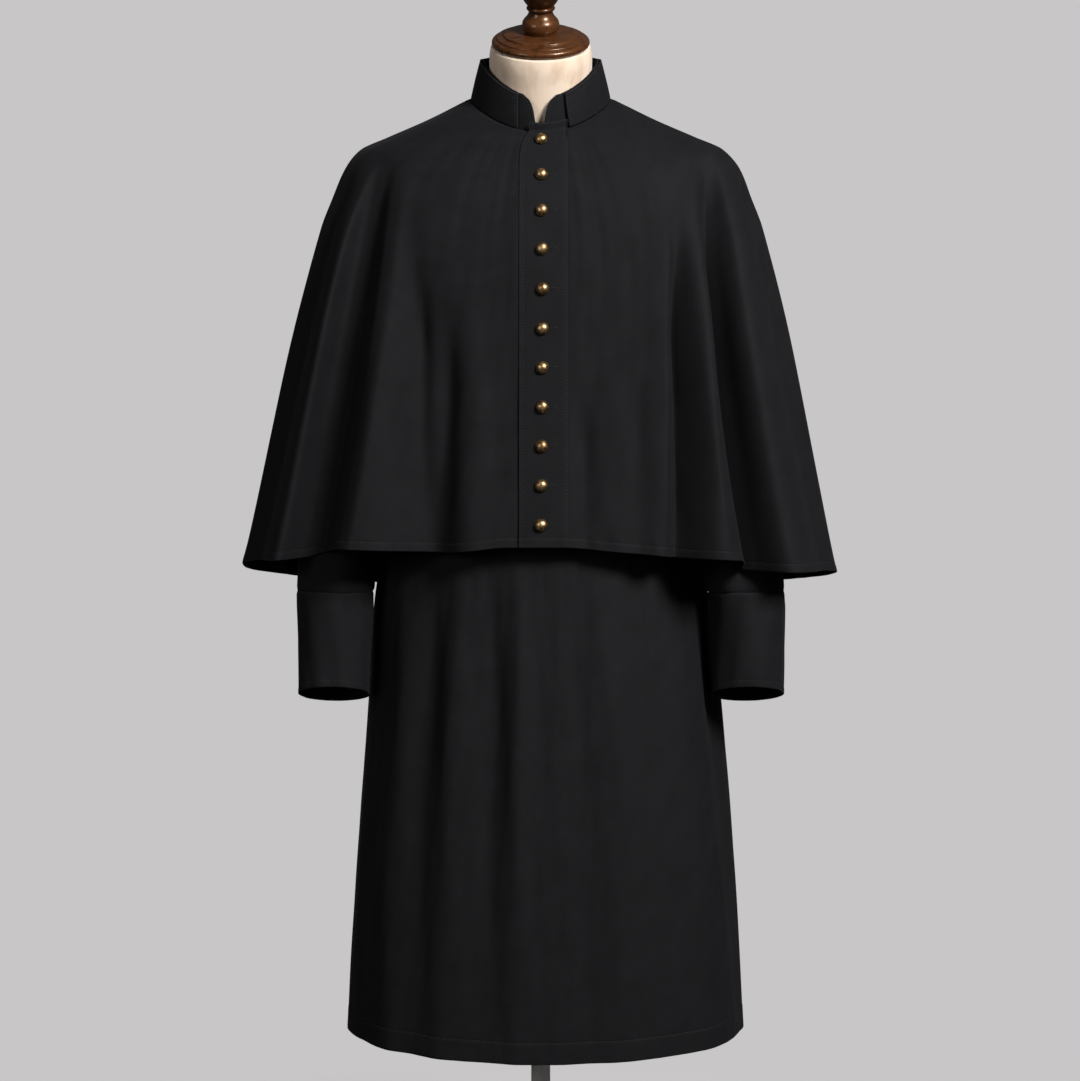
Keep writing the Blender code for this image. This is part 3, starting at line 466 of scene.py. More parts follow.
def body_points(turn, height):
    """The cassock's body with its folds."""
    turn, height = np.broadcast_arrays(turn, height)
    return creased(ring(BODY_SECTIONS, turn, height), turn, height, SKIRT_CREASES, SKIRT_HEM, 1)


def run_along(points, axis):
    """Distance along the cloth from a grid's first row or column."""
    steps = np.linalg.norm(np.diff(points, axis=axis), axis=-1)
    return np.concatenate([np.zeros_like(steps.take([0], axis)), np.cumsum(steps, axis)], axis)


def directions(points):
    """Outward directions of a grid whose rows run down and whose columns run round by rising turn."""
    return unit(np.cross(np.gradient(points, axis=0), np.gradient(points, axis=1)))


def spaced_heights(surface, turn, top, bottom, count, hem_depth):
    """Heights at even steps along the cloth, closer together round the line of a hem's stitches."""
    fine = np.linspace(top, bottom, 500)
    run = run_along(surface(np.full_like(fine, turn), fine), 0)
    near_hem = hem_depth + np.array([0.004, 0.0022, 0.0012, 0.0005, 0, -0.0005, -0.0012, -0.0024])
    last = np.concatenate([near_hem, np.linspace(hem_depth - 0.005, 0, max(4, int(hem_depth / 0.003)))])
    at = np.concatenate([np.linspace(0, run[-1] - hem_depth - 0.008, count), run[-1] - last])
    return np.interp(at, run, fine)


def hem_relief(from_edge, depth):
    """Below its stitches a turned-up hem is thicker, and the stitches sink into it."""
    doubled = 0.0004 * np.clip((depth - from_edge) / 0.0016 + 0.5, 0, 1)
    return doubled - 0.0004 * np.exp(-(((from_edge - depth) / 0.0011) ** 2))


def puckers(along, from_edge, depth, height):
    """Short ripples that a line of stitches pulls into the cloth, unlike one another."""
    wave = np.sin(along * 330 + 2.2 * np.sin(along * 61)) + 0.7 * np.sin(along * 193 + 1.3)
    strength = 0.5 + 0.5 * np.sin(along * 23 + 0.8)
    return height * wave * strength * np.exp(-(((from_edge - depth) / 0.011) ** 2))


def seam_relief(from_seam):
    """A pressed seam: the cloth rolls in at the join."""
    return -0.0009 * np.exp(-((from_seam / 0.0022) ** 2))


def side_seams(across):
    """Pressed seams down both sides of a panel."""
    return seam_relief(across) + seam_relief(across[:, -1:] - across)


def unevenness(turn, height, shift):
    """The slight waviness of hanging wool, from a hand's breadth down to a finger's."""
    total = np.sin(7 * turn + 5 * height + shift)
    for around, along, share in ((13, 9, 0.7), (23, -14, 0.5), (41, 21, 0.35), (67, -33, 0.22)):
        total = total + share * np.sin(around * turn + along * height + shift * around)
    return total


def lay_cloth(name, outer, material, thickness=CLOTH):
    """A wall of cloth inside a grid of points, with round edges and a UV map in metres along the cloth.

    Its sides stop half a thickness short of the seams, so that the round edges meet there. The roll
    at a seam tips an edge back a little, which SEAM_REACH makes up."""
    outer = outer.copy()
    for edge, inside in ((0, 1), (-1, -2)):
        outer[:, edge] -= unit(outer[:, edge] - outer[:, inside]) * (thickness / 2 - SEAM_REACH)
    inner = outer - directions(outer) * thickness
    rows, columns = outer.shape[:2]
    index = np.arange(rows * columns).reshape(rows, columns)
    outwards = np.zeros_like(outer)
    for edge, inside in ((0, 1), (-1, -2)):
        outwards[edge] += unit(outer[edge] - outer[inside])
        outwards[:, edge] += unit(outer[:, edge] - outer[:, inside])
    border = np.concatenate([index[:, 0], index[-1, 1:], index[-2::-1, -1], index[0, -2:0:-1]])
    flat_outer, flat_inner = outer.reshape(-1, 3), inner.reshape(-1, 3)
    away = unit(outwards.reshape(-1, 3)[border])
    rim = (flat_outer[border] + flat_inner[border]) / 2 + away * thickness / 2
    quads = quads_of(index)
    total = rows * columns
    rims = np.arange(len(border)) + 2 * total
    before, rims_before = np.roll(border, 1), np.roll(rims, 1)
    faces = np.concatenate([
        quads,
        quads[:, ::-1] + total,
        np.stack([border, before, rims_before, rims], axis=1),
        np.stack([rims, rims_before, before + total, border + total], axis=1),
    ])
    vertices = np.concatenate([flat_outer, flat_inner, rim])
    piece = new_piece(name, vertices.tolist(), [], faces.tolist(), material)
    mesh = piece.data
    across, down = run_along(outer, 1), run_along(outer, 0)
    flat_map = np.stack([across, -down], axis=-1).reshape(-1, 2)
    flat_map = np.concatenate([flat_map, flat_map, flat_map[border]])
    corner = np.empty(len(mesh.loops), np.int32)
    mesh.loops.foreach_get("vertex_index", corner)
    mesh.uv_layers.new(name="weave").data.foreach_set("uv", flat_map[corner].ravel())
    # A mask that lightens the wool along every edge of the cloth: partly edge wear, partly a painted
    # highlight where the rounded edges catch the light.
    from_edge = np.minimum(np.minimum(down, down[-1] - down), np.minimum(across, across[:, -1:] - across))
    edge_wear_and_highlight = np.exp(-(((from_edge.ravel()) / 0.0012) ** 2))
    edge_wear_and_highlight = np.concatenate([edge_wear_and_highlight, edge_wear_and_highlight, edge_wear_and_highlight[border]])
    mesh.attributes.new("edge_wear_and_highlight", "FLOAT", "POINT").data.foreach_set("value", edge_wear_and_highlight)
    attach(piece, "root")
    return piece


def inset_line(points, inset, axis):
    """A line on the cloth at a distance in from a grid's last row (axis 0) or last column (axis 1)."""
    run = run_along(points, axis)
    grid = points if axis == 0 else points.transpose(1, 0, 2)
    run = run if axis == 0 else run.T
    line = np.empty((grid.shape[1], 3))
    for k in range(grid.shape[1]):
        at = run[-1, k] - inset
        line[k] = [np.interp(at, run[:, k], grid[:, k, part]) for part in range(3)]
    return line


STITCH = 0.0030
STITCH_GAP = 0.0009
THREAD = 0.0005


def along_line(line, run, at):
    """Points of a line at distances along it."""
    return np.stack([np.interp(at, run, line[:, part]) for part in range(3)], axis=1)


def stitched(name, lines, material):
    """Rows of machine stitches along lines on the cloth: each line is (points, outward directions)."""
    around = np.radians(np.arange(0, 360, 60))
    sides = len(around)
    stations = ((-0.5, 0.35, -0.8), (-0.34, 0.95, 0), (0, 1, 0.25), (0.34, 0.95, 0), (0.5, 0.35, -0.8))
    template = np.array([
        (along * STITCH, girth * THREAD * math.cos(a), (lift + girth * math.sin(a)) * THREAD * 0.8)
        for along, girth, lift in stations
        for a in around
    ])
    quads = ring_quads(len(stations), sides)[:, [0, 3, 2, 1]]
    vertices, faces = [], []
    for points, facing in lines:
        run = run_along(points[:, None], 0)[:, 0]
        at = np.arange(STITCH, run[-1] - STITCH / 2, STITCH + STITCH_GAP)
        middle = along_line(points, run, at)
        ahead = unit(along_line(points, run, at + 0.0005) - middle)
        beside = unit(np.cross(along_line(facing, run, at), ahead))
        axes = np.stack([ahead, beside, np.cross(ahead, beside)], axis=1)
        first = sum(len(block) for block in vertices)
        vertices.append((middle[:, None] + template @ axes).reshape(-1, 3))
        offsets = first + np.arange(len(at)) * len(template)
        faces.append((offsets[:, None, None] + quads).reshape(-1, 4))
    vertices = np.concatenate(vertices)
    faces = np.concatenate(faces).tolist()
    ends = len(template) - sides
    for start in range(0, len(vertices), len(template)):
        faces.append([start + k for k in reversed(range(sides))])
        faces.append([start + ends + k for k in range(sides)])
    piece = new_piece(name, vertices.tolist(), [], faces, material)
    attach(piece, "root")
    return piece


# Black wool gabardine: piece-dyed, a steep fine twill with a clear-cut face, so it is matt with a
# faint sheen. The real twill is 0.5 mm from rib to rib and is drawn at 2 mm so that it shows.
wool, tree, shader = new_material(
    "piece-dyed black wool gabardine",
    Roughness=0.78,
    Sheen_Weight=0.02,
    Sheen_Roughness=0.45,
    Sheen_Tint=linear("#d8d8e2"),
    Specular_IOR_Level=0.12,
)
TWILL_PITCH = 0.0020
TWILL_SLOPE = math.radians(28)
weave = add_node(tree, "UVMap", uv_map="weave").outputs["UV"]
sloping = add_node(tree, "Mapping", {"Vector": weave, "Rotation": (0, 0, TWILL_SLOPE)}).outputs["Vector"]
ribs = {"Vector": sloping, "Scale": math.tau / (20 * TWILL_PITCH), "Distortion": 0.6, "Detail": 1.0}
twill = add_node(tree, "TexWave", ribs, bands_direction="X").outputs["Fac"]
nap = noise(tree, weave, 900.0, 3.0)
dye = noise(tree, weave, 24.0, 8.0, Roughness=0.68)
# Along every edge the wool is mixed towards a lighter grey: partly wear, partly a painted highlight
# standing in for light caught by the rounded edges.
edge_wear_and_highlight = add_node(tree, "Attribute", attribute_name="edge_wear_and_highlight", attribute_type="GEOMETRY").outputs["Fac"]
edge_wear_and_highlight_share = add_node(tree, "Math", {0: edge_wear_and_highlight, 1: 0.35}, operation="MULTIPLY").outputs["Value"]
tone = between(tree, dye, (0.30, "#0d0d0f"), (0.70, "#131315"))
wool_with_lighter_edges = mixed_colour(tree, edge_wear_and_highlight_share, tone, "#1e1e21")
wire(tree, shader, Base_Color=wool_with_lighter_edges, Normal=raised(tree, added(tree, twill, nap), 0.22, 0.0004))

# Black buttonhole twist and sewing thread: spun silk, a shade glossier than the wool.
thread, tree, shader = new_material("black silk sewing thread", Roughness=0.55, Specular_IOR_Level=0.3)
place = add_node(tree, "TexCoord").outputs["Object"]
ply = noise(tree, place, 1500.0, 1.0)
wire(tree, shader, Base_Color=between(tree, ply, (0.0, "#070708"), (1.0, "#0c0c0d")))


def tailor(name, node, points, relief, hem_depth, thickness=CLOTH):
    """Cloth laid along points raised by their relief, in a node's place, and its hem's line of stitches."""
    points = points + directions(points) * relief[..., None]
    piece = lay_cloth(name, points, wool, thickness)
    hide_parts(node)
    return piece, points, (inset_line(points, hem_depth, 0), directions(points)[-1])


heights = spaced_heights(body_points, 0.6, 1.4955, SKIRT_HEM, 120, SKIRT_HEM_DEPTH)
body_hem_lines = []
body_panels = {}
for node, first_turn, last_turn, columns in (
    ("cassock_front", -90, 90, 184),
    ("cassock_back_left", 90, 180, 92),
    ("cassock_back_right", 180, 270, 92),
):
    turn, height = np.meshgrid(np.radians(np.linspace(first_turn, last_turn, columns)), heights)
    points = body_points(turn, height)
    from_hem = run_along(points[::-1], 0)[::-1]
    across = run_along(points, 1)
    relief = hem_relief(from_hem, SKIRT_HEM_DEPTH) + puckers(across, from_hem, SKIRT_HEM_DEPTH, PUCKER)
    relief += side_seams(across) + SKIRT_WAVE * unevenness(turn, height, 0.4)
    name = node.replace("cassock", "gabardine")
    body_panels[node], _, hem_line = tailor(name, node, points, relief, SKIRT_HEM_DEPTH)
    body_hem_lines.append(hem_line)

# The armholes and the short slit at the neck are cut through the panels.
Armhole = namedtuple("Armhole", "height half_height half_turn sides")
ARMHOLE = Armhole(1.343, 0.078, 19.0, 96)


def armhole_ring(angle, inside):
    """The armhole's edge on the left of the body, or a ring a little inside it."""
    turn = np.radians(90 - ARMHOLE.half_turn * np.sin(angle))
    edge = ring(BODY_SECTIONS, turn, ARMHOLE.height + ARMHOLE.half_height * np.cos(angle))
    centre = np.array([0.0, 0.0, ARMHOLE.height])
    edge[:, 1:] = centre[1:] + (edge[:, 1:] - centre[1:]) * (1 - inside / ARMHOLE.half_height)
    return edge


sides = ARMHOLE.sides
edge = armhole_ring(np.linspace(0, math.tau, sides, endpoint=False), 0).tolist()
ends = [list(range(sides)), list(range(2 * sides - 1, sides - 1, -1))]
cutter = new_piece(
    "armhole cutter",
    [(side * 0.3, y, z) for side in (-1, 1) for _, y, z in edge],
    [],
    ends + ring_quads(2, sides).tolist(),
)
cutter.data.shade_flat()
face_outwards(cutter)
bpy.ops.mesh.primitive_cube_add(size=1, location=(0, -0.11, 1.36), scale=(0.0012, 0.09, 0.22))
slit = bpy.context.object
bpy.ops.object.transform_apply(location=True, rotation=True, scale=True)
for node, panel in body_panels.items():
    for tool in (cutter, slit) if node == "cassock_front" else (cutter,):
        hole = panel.modifiers.new("opening", "BOOLEAN")
        hole.operation = "DIFFERENCE"
        hole.object = tool
        bpy.context.view_layer.objects.active = panel
        bpy.ops.object.modifier_apply(modifier=hole.name)
bpy.data.objects.remove(cutter)
bpy.data.objects.remove(slit)

skirt_stitches = stitched("skirt_hem_stitches", body_hem_lines, thread)


# ------------------------------
# The sleeves: each is cut in two, a fore part and a hind part, seamed along the front and behind,
# and ends in a deep plain cuff, seamed on and topstitched round its lower edge. They hang empty.
SleeveRing = namedtuple("SleeveRing", "name outer_x outer_z inner_x inner_z y half_depth front_rise")
SLEEVE_RINGS = table(
    SleeveRing,
    ("head", 0.222, 1.416, 0.2035, 1.258, -0.004, 0.06, 0),
    ("cap", 0.243, 1.392, 0.206, 1.225, -0.007, 0.059, 0),
    ("upper arm", 0.262, 1.343, 0.2055, 1.17, -0.013, 0.058, 0),
    ("arm", 0.281, 1.25, 0.2015, 1.1, -0.024, 0.056, 0),
    ("elbow", 0.295, 1.13, 0.201, 1.02, -0.036, 0.054, 0),
    ("forearm", 0.3055, 1, 0.206, 0.95, -0.047, 0.052, 0),
    ("wrist", 0.31, 0.868, 0.212, 0.868, -0.055, 0.05, 0),
)
CUFF_RINGS = table(
    SleeveRing,
    ("seam", 0.311, 0.8676, 0.2145, 0.8676, -0.055, 0.0505, 0),
    ("middle", 0.311, 0.8, 0.217, 0.8, -0.057, 0.0495, 0.006),
    ("edge", 0.31, 0.736, 0.2195, 0.736, -0.06, 0.0485, 0.014),
)
FORE_SEAM = 24.0
HIND_SEAM = 210.0
CUFF_STITCH_INSET = 0.0075
SLEEVE_INSIDE = 0.0006
CUFF_PROUD = 0.0006


def sleeve_ring(row, angle):
    """One ring of a left sleeve: angle 0 at its outer side, 90 at its front, 180 at its inner side."""
    x = (row.outer_x + row.inner_x) / 2 + (row.outer_x - row.inner_x) / 2 * np.cos(angle)
    z = (row.outer_z + row.inner_z) / 2 + (row.outer_z - row.inner_z) / 2 * np.cos(angle)
    fore = np.sin(angle)
    return np.stack([x, row.y - row.half_depth * fore, z + row.front_rise * fore], axis=-1)


def sleeve_grid(rings, rows, angle, mirror):
    """A grid down a sleeve or cuff of either side, its columns by rising turn, and the columns' angles."""
    points = smooth_between(rings, rows)
    points[..., 0] *= mirror
    return (points[:, ::-1], angle[::-1]) if mirror > 0 else (points, angle)


for side, mirror, shift in (("left", 1, 0.0), ("right", -1, 2.1)):
    parts = {"fore": (FORE_SEAM, HIND_SEAM, 70), "hind": (HIND_SEAM, FORE_SEAM + 360, 66)}
    for part, (start, end, columns) in parts.items():
        angle = np.radians(np.linspace(start, end, columns))
        rings = [armhole_ring(angle, SLEEVE_INSIDE)] + [sleeve_ring(row, angle) for row in SLEEVE_RINGS]
        points, angle = sleeve_grid(rings, 104, angle, mirror)
        down, across = run_along(points, 0), run_along(points, 1)
        to_wrist = down[-1] - down
        folds = 0.0016 * np.sin(3 * angle + 9 * to_wrist + shift) * np.exp(-to_wrist / 0.05)
        folds = folds + 0.0010 * np.sin(7 * angle - 38 * to_wrist + shift)
        relief = folds + side_seams(across) + seam_relief(to_wrist)
        sleeve, _, _ = tailor(f"sleeve_cloth_{side}_{part}", f"sleeve_{side}_{part}", points, relief, 0)
    angle = np.radians(np.linspace(FORE_SEAM, FORE_SEAM + 360, 150))
    points, angle = sleeve_grid([sleeve_ring(row, angle) for row in CUFF_RINGS], 72, angle, mirror)
    down, across = run_along(points, 0), run_along(points, 1)
    to_edge = down[-1] - down
    folds = 0.0010 * np.sin(4 * angle + 22 * down + shift) + 0.0006 * np.sin(9 * angle - 31 * down)
    relief = folds * np.clip(down / 0.02, 0, 1) + CUFF_PROUD + seam_relief(down)
    relief += puckers(across, down, 0, 0.0003)
    relief += hem_relief(to_edge, CUFF_STITCH_INSET) + puckers(across, to_edge, CUFF_STITCH_INSET, PUCKER)
    cuff, _, edge_line = tailor(f"cuff_cloth_{side}", f"cuff_{side}", points, relief, CUFF_STITCH_INSET)
    stitches = stitched(f"cuff_stitches_{side}", [edge_line], thread)


# ------------------------------
# The cassock's own stand collar: two layers of gabardine over canvas, its front corners cut
# round, sewn into the neck and standing just above the cape's collar. Its front is left open.
CollarRow = namedtuple("CollarRow", "half_width y_front y_back z_front z_side z_back right_end left_end")
CASSOCK_COLLAR = table(
    CollarRow,
    (0.0853, -0.0843, 0.0653, 1.4448, 1.4968, 1.5168, -0.0062, 0.0042),
    (0.0817, -0.0876, 0.0547, 1.46, 1.5138, 1.5338, -0.0073, 0.0052),
    (0.0774, -0.09, 0.0427, 1.4757, 1.5311, 1.5502, -0.0101, 0.0078),
    (0.0748, -0.0912, 0.0357, 1.4848, 1.5414, 1.56, -0.0146, 0.0122),
    (0.0737, -0.0917, 0.0322, 1.489, 1.5464, 1.565, -0.022, 0.019),
)
COLLAR_DIP = 1.2
COLLAR_STITCH_INSET = 0.0045


def collar_points(rows, rise, count):
    """A stand collar from its right front end round the back to its left, top row first."""
    knots = np.cumsum([0] + [math.hypot(b.z_side - a.z_side, 0.003) for a, b in zip(rows, rows[1:])])
    levels = []
    for share in rise[::-1]:
        row = CollarRow(*(read(knots, column, share * knots[-1]) for column in zip(*rows)))
        depth = (row.y_back - row.y_front) / 2
        start, end = (
            math.atan2(x, depth * math.sqrt(1 - (x / row.half_width) ** 2))
            for x in (row.left_end, row.right_end)
        )
        turn = np.linspace(start, end + math.tau, count)
        x, y = oval(turn, row.half_width, row.y_front, row.y_back, 2.0)
        z_end = np.where(np.cos(turn) > 0, row.z_front, row.z_back)
        z = row.z_side + (z_end - row.z_side) * np.abs(np.cos(turn)) ** COLLAR_DIP
        levels.append(np.stack([x, y, z], axis=-1))
    return np.array(levels)


def sunk(from_line, width):
    """The groove that a line of stitches pulls into cloth."""
    return -0.0003 * np.exp(-((from_line / width) ** 2))


def make_collar(name, node, rows, thickness):
    """A collar, slightly wavy at its foot, its top and ends topstitched."""
    rise = np.concatenate([np.linspace(0, 0.86, 22), np.linspace(0.88, 1, 9)])
    points = collar_points(rows, rise, 260)
    down, across = run_along(points, 0), run_along(points, 1)
    from_front = np.minimum(across, across[:, -1:] - across)
    relief = sunk(down - COLLAR_STITCH_INSET, 0.0009) + sunk(from_front - COLLAR_STITCH_INSET, 0.0009)
    relief += 0.00025 * np.sin(across * 95 + 1.0) * down / down[-1:]
    collar, points, _ = tailor(name, node, points, relief, 0, thickness)
    facing = directions(points)
    top = (inset_line(points[::-1], COLLAR_STITCH_INSET, 0), facing[0])
    ends = [
        (inset_line(grid, COLLAR_STITCH_INSET, 1), normal[:, -1])
        for grid, normal in ((points, facing), (points[:, ::-1], facing[:, ::-1]))
    ]
    return collar, stitched(f"{name}_stitches", [top, *ends], thread)


collar, stitches = make_collar("gabardine_collar", "cassock_collar", CASSOCK_COLLAR, CLOTH)


# ------------------------------
# The shoulder cape: a back and two fronts, cut in wide curves so that they lie smooth over the
# shoulders and fall into deep pleats at the arms. Its hem is turned up and topstitched all round.
CAPE_HEM = 0.897
CAPE_FLATNESS = 0.5
CAPE_HEM_DEPTH = 0.010
CAPE_SECTIONS = table(
    Section,
    ("neck", 1.5, 0.09, 0, -0.09, 0.07, 1.447, 1.52, 2, 1.2),
    ("yoke", 1.472, 0.146, 0.001, -0.112, 0.1, 1.411, 1.49, 2, 1.7),
    ("shoulder", 1.4495, 0.1975, 0.001, -0.132, 0.122, 1.362, 1.445, 2.05, 1.9),
    ("tip", 1.433, 0.2345, 0.0015, -0.144, 0.138, 1.31, 1.398, 2.1, 2),
    ("turn", 1.4096, 0.2545, 0.0025, -0.149, 0.146, 1.26, 1.35, 2.1, 2),
    ("fall", 1.3717, 0.2705, 0.002, -0.1515, 0.151, 1.215, 1.3, 2.1, 2),
    ("drop", 1.334, 0.285, 0.002, -0.1535, 0.155, 1.18, 1.262, 2.1, 2),
    ("hem", CAPE_HEM, 0.386, 0, -0.172, 0.2, 0.9285, 0.85, 2.2, 1),
)
HemPoint = namedtuple("HemPoint", "name turn x y")
CAPE_HEM_POINTS = table(
    HemPoint,
    ("back centre", -180, 0, 0.197),
    ("back pleat", -171, -0.032, 0.207),
    ("back hollow", -159, -0.078, 0.187),
    ("shoulder blade pleat", -147, -0.13, 0.206),
    ("blade hollow", -136, -0.184, 0.166),
    ("back side pleat", -126, -0.246, 0.178),
    ("back side hollow", -116, -0.288, 0.128),
    ("hind arm pleat", -109, -0.338, 0.12),
    ("hind arm hollow", -102, -0.354, 0.068),
    ("hind side roll", -96, -0.379, 0.038),
    ("side", -90, -0.386, 0.004),
    ("fore side roll", -84, -0.3845, -0.03),
    ("fore side hollow", -77, -0.357, -0.062),
    ("arm pleat flank", -73.5, -0.349, -0.098),
    ("arm pleat", -70, -0.328, -0.137),
    ("arm hollow", -66.5, -0.298, -0.101),
    ("panel flank", -64, -0.274, -0.104),
    ("panel edge", -61, -0.2535, -0.155),
    ("panel pleat", -57, -0.234, -0.174),
    ("front", 0, 0, -0.172),
    ("panel pleat", 57, 0.228, -0.174),
    ("panel edge", 62.5, 0.248, -0.157),
    ("panel flank", 65, 0.253, -0.128),
    ("arm hollow", 67.5, 0.253, -0.106),
    ("arm hollow end", 70, 0.273, -0.118),
    ("arm pleat", 73.5, 0.312, -0.145),
    ("arm pleat flank", 76.5, 0.342, -0.116),
    ("fore side hollow", 80, 0.36, -0.066),
    ("fore side roll", 85, 0.381, -0.031),
    ("side", 90, 0.386, 0.004),
    ("hind side roll", 97, 0.379, 0.038),
    ("hind arm hollow", 103, 0.354, 0.066),
    ("hind arm pleat", 110, 0.34, 0.119),
    ("back side hollow", 117, 0.286, 0.129),
    ("back side pleat", 127, 0.244, 0.177),
    ("blade hollow", 137, 0.18, 0.165),
    ("shoulder blade pleat", 149, 0.126, 0.205),
    ("back hollow", 161, 0.074, 0.188),
    ("back pleat", 172, 0.03, 0.206),
    ("back centre", 180, 0, 0.197),
)
HemLevel = namedtuple("HemLevel", "turn z")
CAPE_HEM_LEVELS = table(
    HemLevel,
    (-180, 0.849),
    (-147, 0.857),
    (-109, 0.8785),
    (-90, 0.896),
    (-77, 0.9085),
    (-67, 0.9125),
    (-61, 0.926),
    (-34, 0.9215),
    (-12, 0.9285),
    (8, 0.9285),
    (30, 0.9215),
    (45, 0.9155),
    (62, 0.912),
    (68, 0.898),
    (80, 0.8945),
    (90, 0.8885),
    (110, 0.873),
    (149, 0.854),
    (180, 0.849),
)
CAPE_CREASES = table(
    Crease,
    ("right breast hollow", -54, 1.43, -40, 8.2, -0.032, -0.035),
    ("right front hollow", -37.5, 1.37, -34, 4.5, -0.017, -0.007),
    ("right front ridge", -27, 1.33, -24, 5, 0.004, 0.005),
    ("left band hollow", 18, 1.25, 17, 4, -0.006, -0.006),
    ("left front trace", 36, 1.25, 33, 3.5, -0.005, -0.005),
    ("left front hollow", 56.5, 1.43, 45.6, 4.3, -0.033, -0.032),
    ("left front ridge", 63, 1.43, 54.5, 4.5, 0.011, 0.008),
)


def cape_points(turn, height):
    """The cape: smooth at the shoulders, its pleats opening from the shoulder tip down to the hem."""
    turn, height = np.broadcast_arrays(turn, height)
    wrapped = (np.degrees(turn) + 180) % 360 - 180
    hem = ring(CAPE_SECTIONS, turn, np.full_like(height, CAPE_HEM))
    turns = [point.turn for point in CAPE_HEM_POINTS]
    pleats = np.zeros_like(hem)
    for axis, along in enumerate("xy"):
        at_points = read(turns, [getattr(point, along) for point in CAPE_HEM_POINTS], wrapped)
        pleats[..., axis] = at_points - hem[..., axis]
    pleats[..., :2] *= np.clip((np.abs(wrapped) - 20) / 30, 0, 1)[..., None]
    level_turns, levels = zip(*CAPE_HEM_LEVELS)
    pleats[..., 2] = read(level_turns, levels, wrapped) - hem[..., 2]
    top = CAPE_SECTIONS[3].height
    opened = np.clip((top - height) / (top - CAPE_HEM), 0, 1)
    pleats[..., :2] *= (1 - (1 - opened) ** 4)[..., None]
    pleats[..., 2] *= opened
    smooth = ring(CAPE_SECTIONS, turn, height) + pleats
    return creased(smooth, turn, height, CAPE_CREASES, CAPE_HEM, CAPE_FLATNESS)


def turn_at(x, height):
    """The turn, near the front, at which the cape is x from its middle."""
    columns = ("half_width", "x_middle", "y_front", "y_back", "square")
    width, x_middle, y_front, y_back, square = (column(CAPE_SECTIONS, name, height) for name in columns)
    aside = x - x_middle
    depth = (y_back - y_front) / 2 * (1 - np.abs(aside / width) ** square) ** (1 / square)
    return np.arctan2(aside, depth)


BAND_LEFT = -0.027
BAND_RIGHT = 0.031
UNDERLAP = 0.022
CAPE_WAVE = 0.0005
cape_heights = spaced_heights(cape_points, 1.0, 1.5, CAPE_HEM, 112, CAPE_HEM_DEPTH)
cape_lines = []
cape_panels = {}
left_side = np.full_like(cape_heights, math.pi / 2)
for node, first, last, columns in (
    ("cape_front_left", turn_at(BAND_RIGHT, cape_heights), left_side, 160),
    ("cape_front_right", -left_side, turn_at(UNDERLAP, cape_heights), 176),
    ("cape_back", left_side, 3 * left_side, 280),
):
    turn = first[:, None] + (last - first)[:, None] * np.linspace(0, 1, columns)
    height = np.repeat(cape_heights[:, None], columns, axis=1)
    points = cape_points(turn, height)
    from_hem = run_along(points[::-1], 0)[::-1]
    down, across = run_along(points, 0), run_along(points, 1)
    relief = hem_relief(from_hem, CAPE_HEM_DEPTH) + puckers(across, from_hem, CAPE_HEM_DEPTH, 0.0003)
    relief += side_seams(across) + seam_relief(down)
    relief += CAPE_WAVE * unevenness(turn, height, 1.7) * np.clip(down / 0.05, 0, 1)
    name = node.replace("cape", "cape_cloth")
    cape_panels[node], _, hem_line = tailor(name, node, points, relief, CAPE_HEM_DEPTH)
    cape_lines.append(hem_line)
cape_stitches = stitched("cape_hem_stitches", cape_lines, thread)


# ------------------------------
# The cape's stand collar: gabardine over stiff canvas, square at the front, its left end passing
# over the band. It is seamed to the cape's neck and topstitched along its edges.
CAPE_COLLAR = table(
    CollarRow,
    (0.0898, -0.0899, 0.0699, 1.448, 1.501, 1.521, -0.029, 0.036),
    (0.0858, -0.0924, 0.0588, 1.4608, 1.5164, 1.5358, -0.029, 0.034),
    (0.0812, -0.0942, 0.0468, 1.4744, 1.5324, 1.5512, -0.029, 0.032),
    (0.0774, -0.0952, 0.036, 1.4862, 1.5458, 1.564, -0.029, 0.0305),
)
collar, stitches = make_collar("cape_collar_cloth", "cape_collar", CAPE_COLLAR, COLLAR_CLOTH)


# ------------------------------
# The button band: a straight folded strip seamed to the left front and lapped over the right,
# topstitched along both long edges, with eleven worked buttonholes across it.
BAND_PROUD = 0.0022
BAND_TOP_CURVE = 0.012
BAND_RISE = 0.0092
BAND_STITCH_INSET = 0.0062
BAND_SEAM_STITCH_INSET = 0.0025
BAND_PUCKER = 0.00018
BAND_LAP = 0.0030
NECK_HEIGHT = 1.500
BUTTONS = 11
FIRST_BUTTON = 0.0141
SECOND_BUTTON = 0.0669
BUTTON_PITCH = 0.0487
SEAT_LIFT = 0.0003

near_top = np.clip((cape_heights - 1.465) / (NECK_HEIGHT - 1.465), 0, 1)
free_edge = turn_at(BAND_LEFT + BAND_TOP_CURVE * near_top**2, cape_heights)
seam_edge = turn_at(np.full_like(cape_heights, BAND_RIGHT + BAND_LAP), cape_heights)
share = np.concatenate([[0, 0.012, 0.03], np.linspace(0.06, 0.95, 26), [0.975, 0.99, 1]])
turn = free_edge[:, None] + (seam_edge - free_edge)[:, None] * share
height = np.repeat(cape_heights[:, None], len(share), axis=1)
points = cape_points(turn, height)
points = points + directions(points) * (BAND_PROUD * np.clip((1 - share) / 0.07, 0.8, 1))[:, None]
rise = np.array(Vector((0, -0.2, 1)).normalized()) * BAND_RISE
points = np.concatenate([[points[0] + rise * step for step in np.linspace(1, 0.2, 5)], points])
down, across = run_along(points, 0), run_along(points, 1)
relief = -0.00035 * np.exp(-(((across - BAND_STITCH_INSET) / 0.0010) ** 2))
relief += hem_relief(down[-1] - down, CAPE_HEM_DEPTH)
relief += puckers(down, across, BAND_STITCH_INSET, BAND_PUCKER)
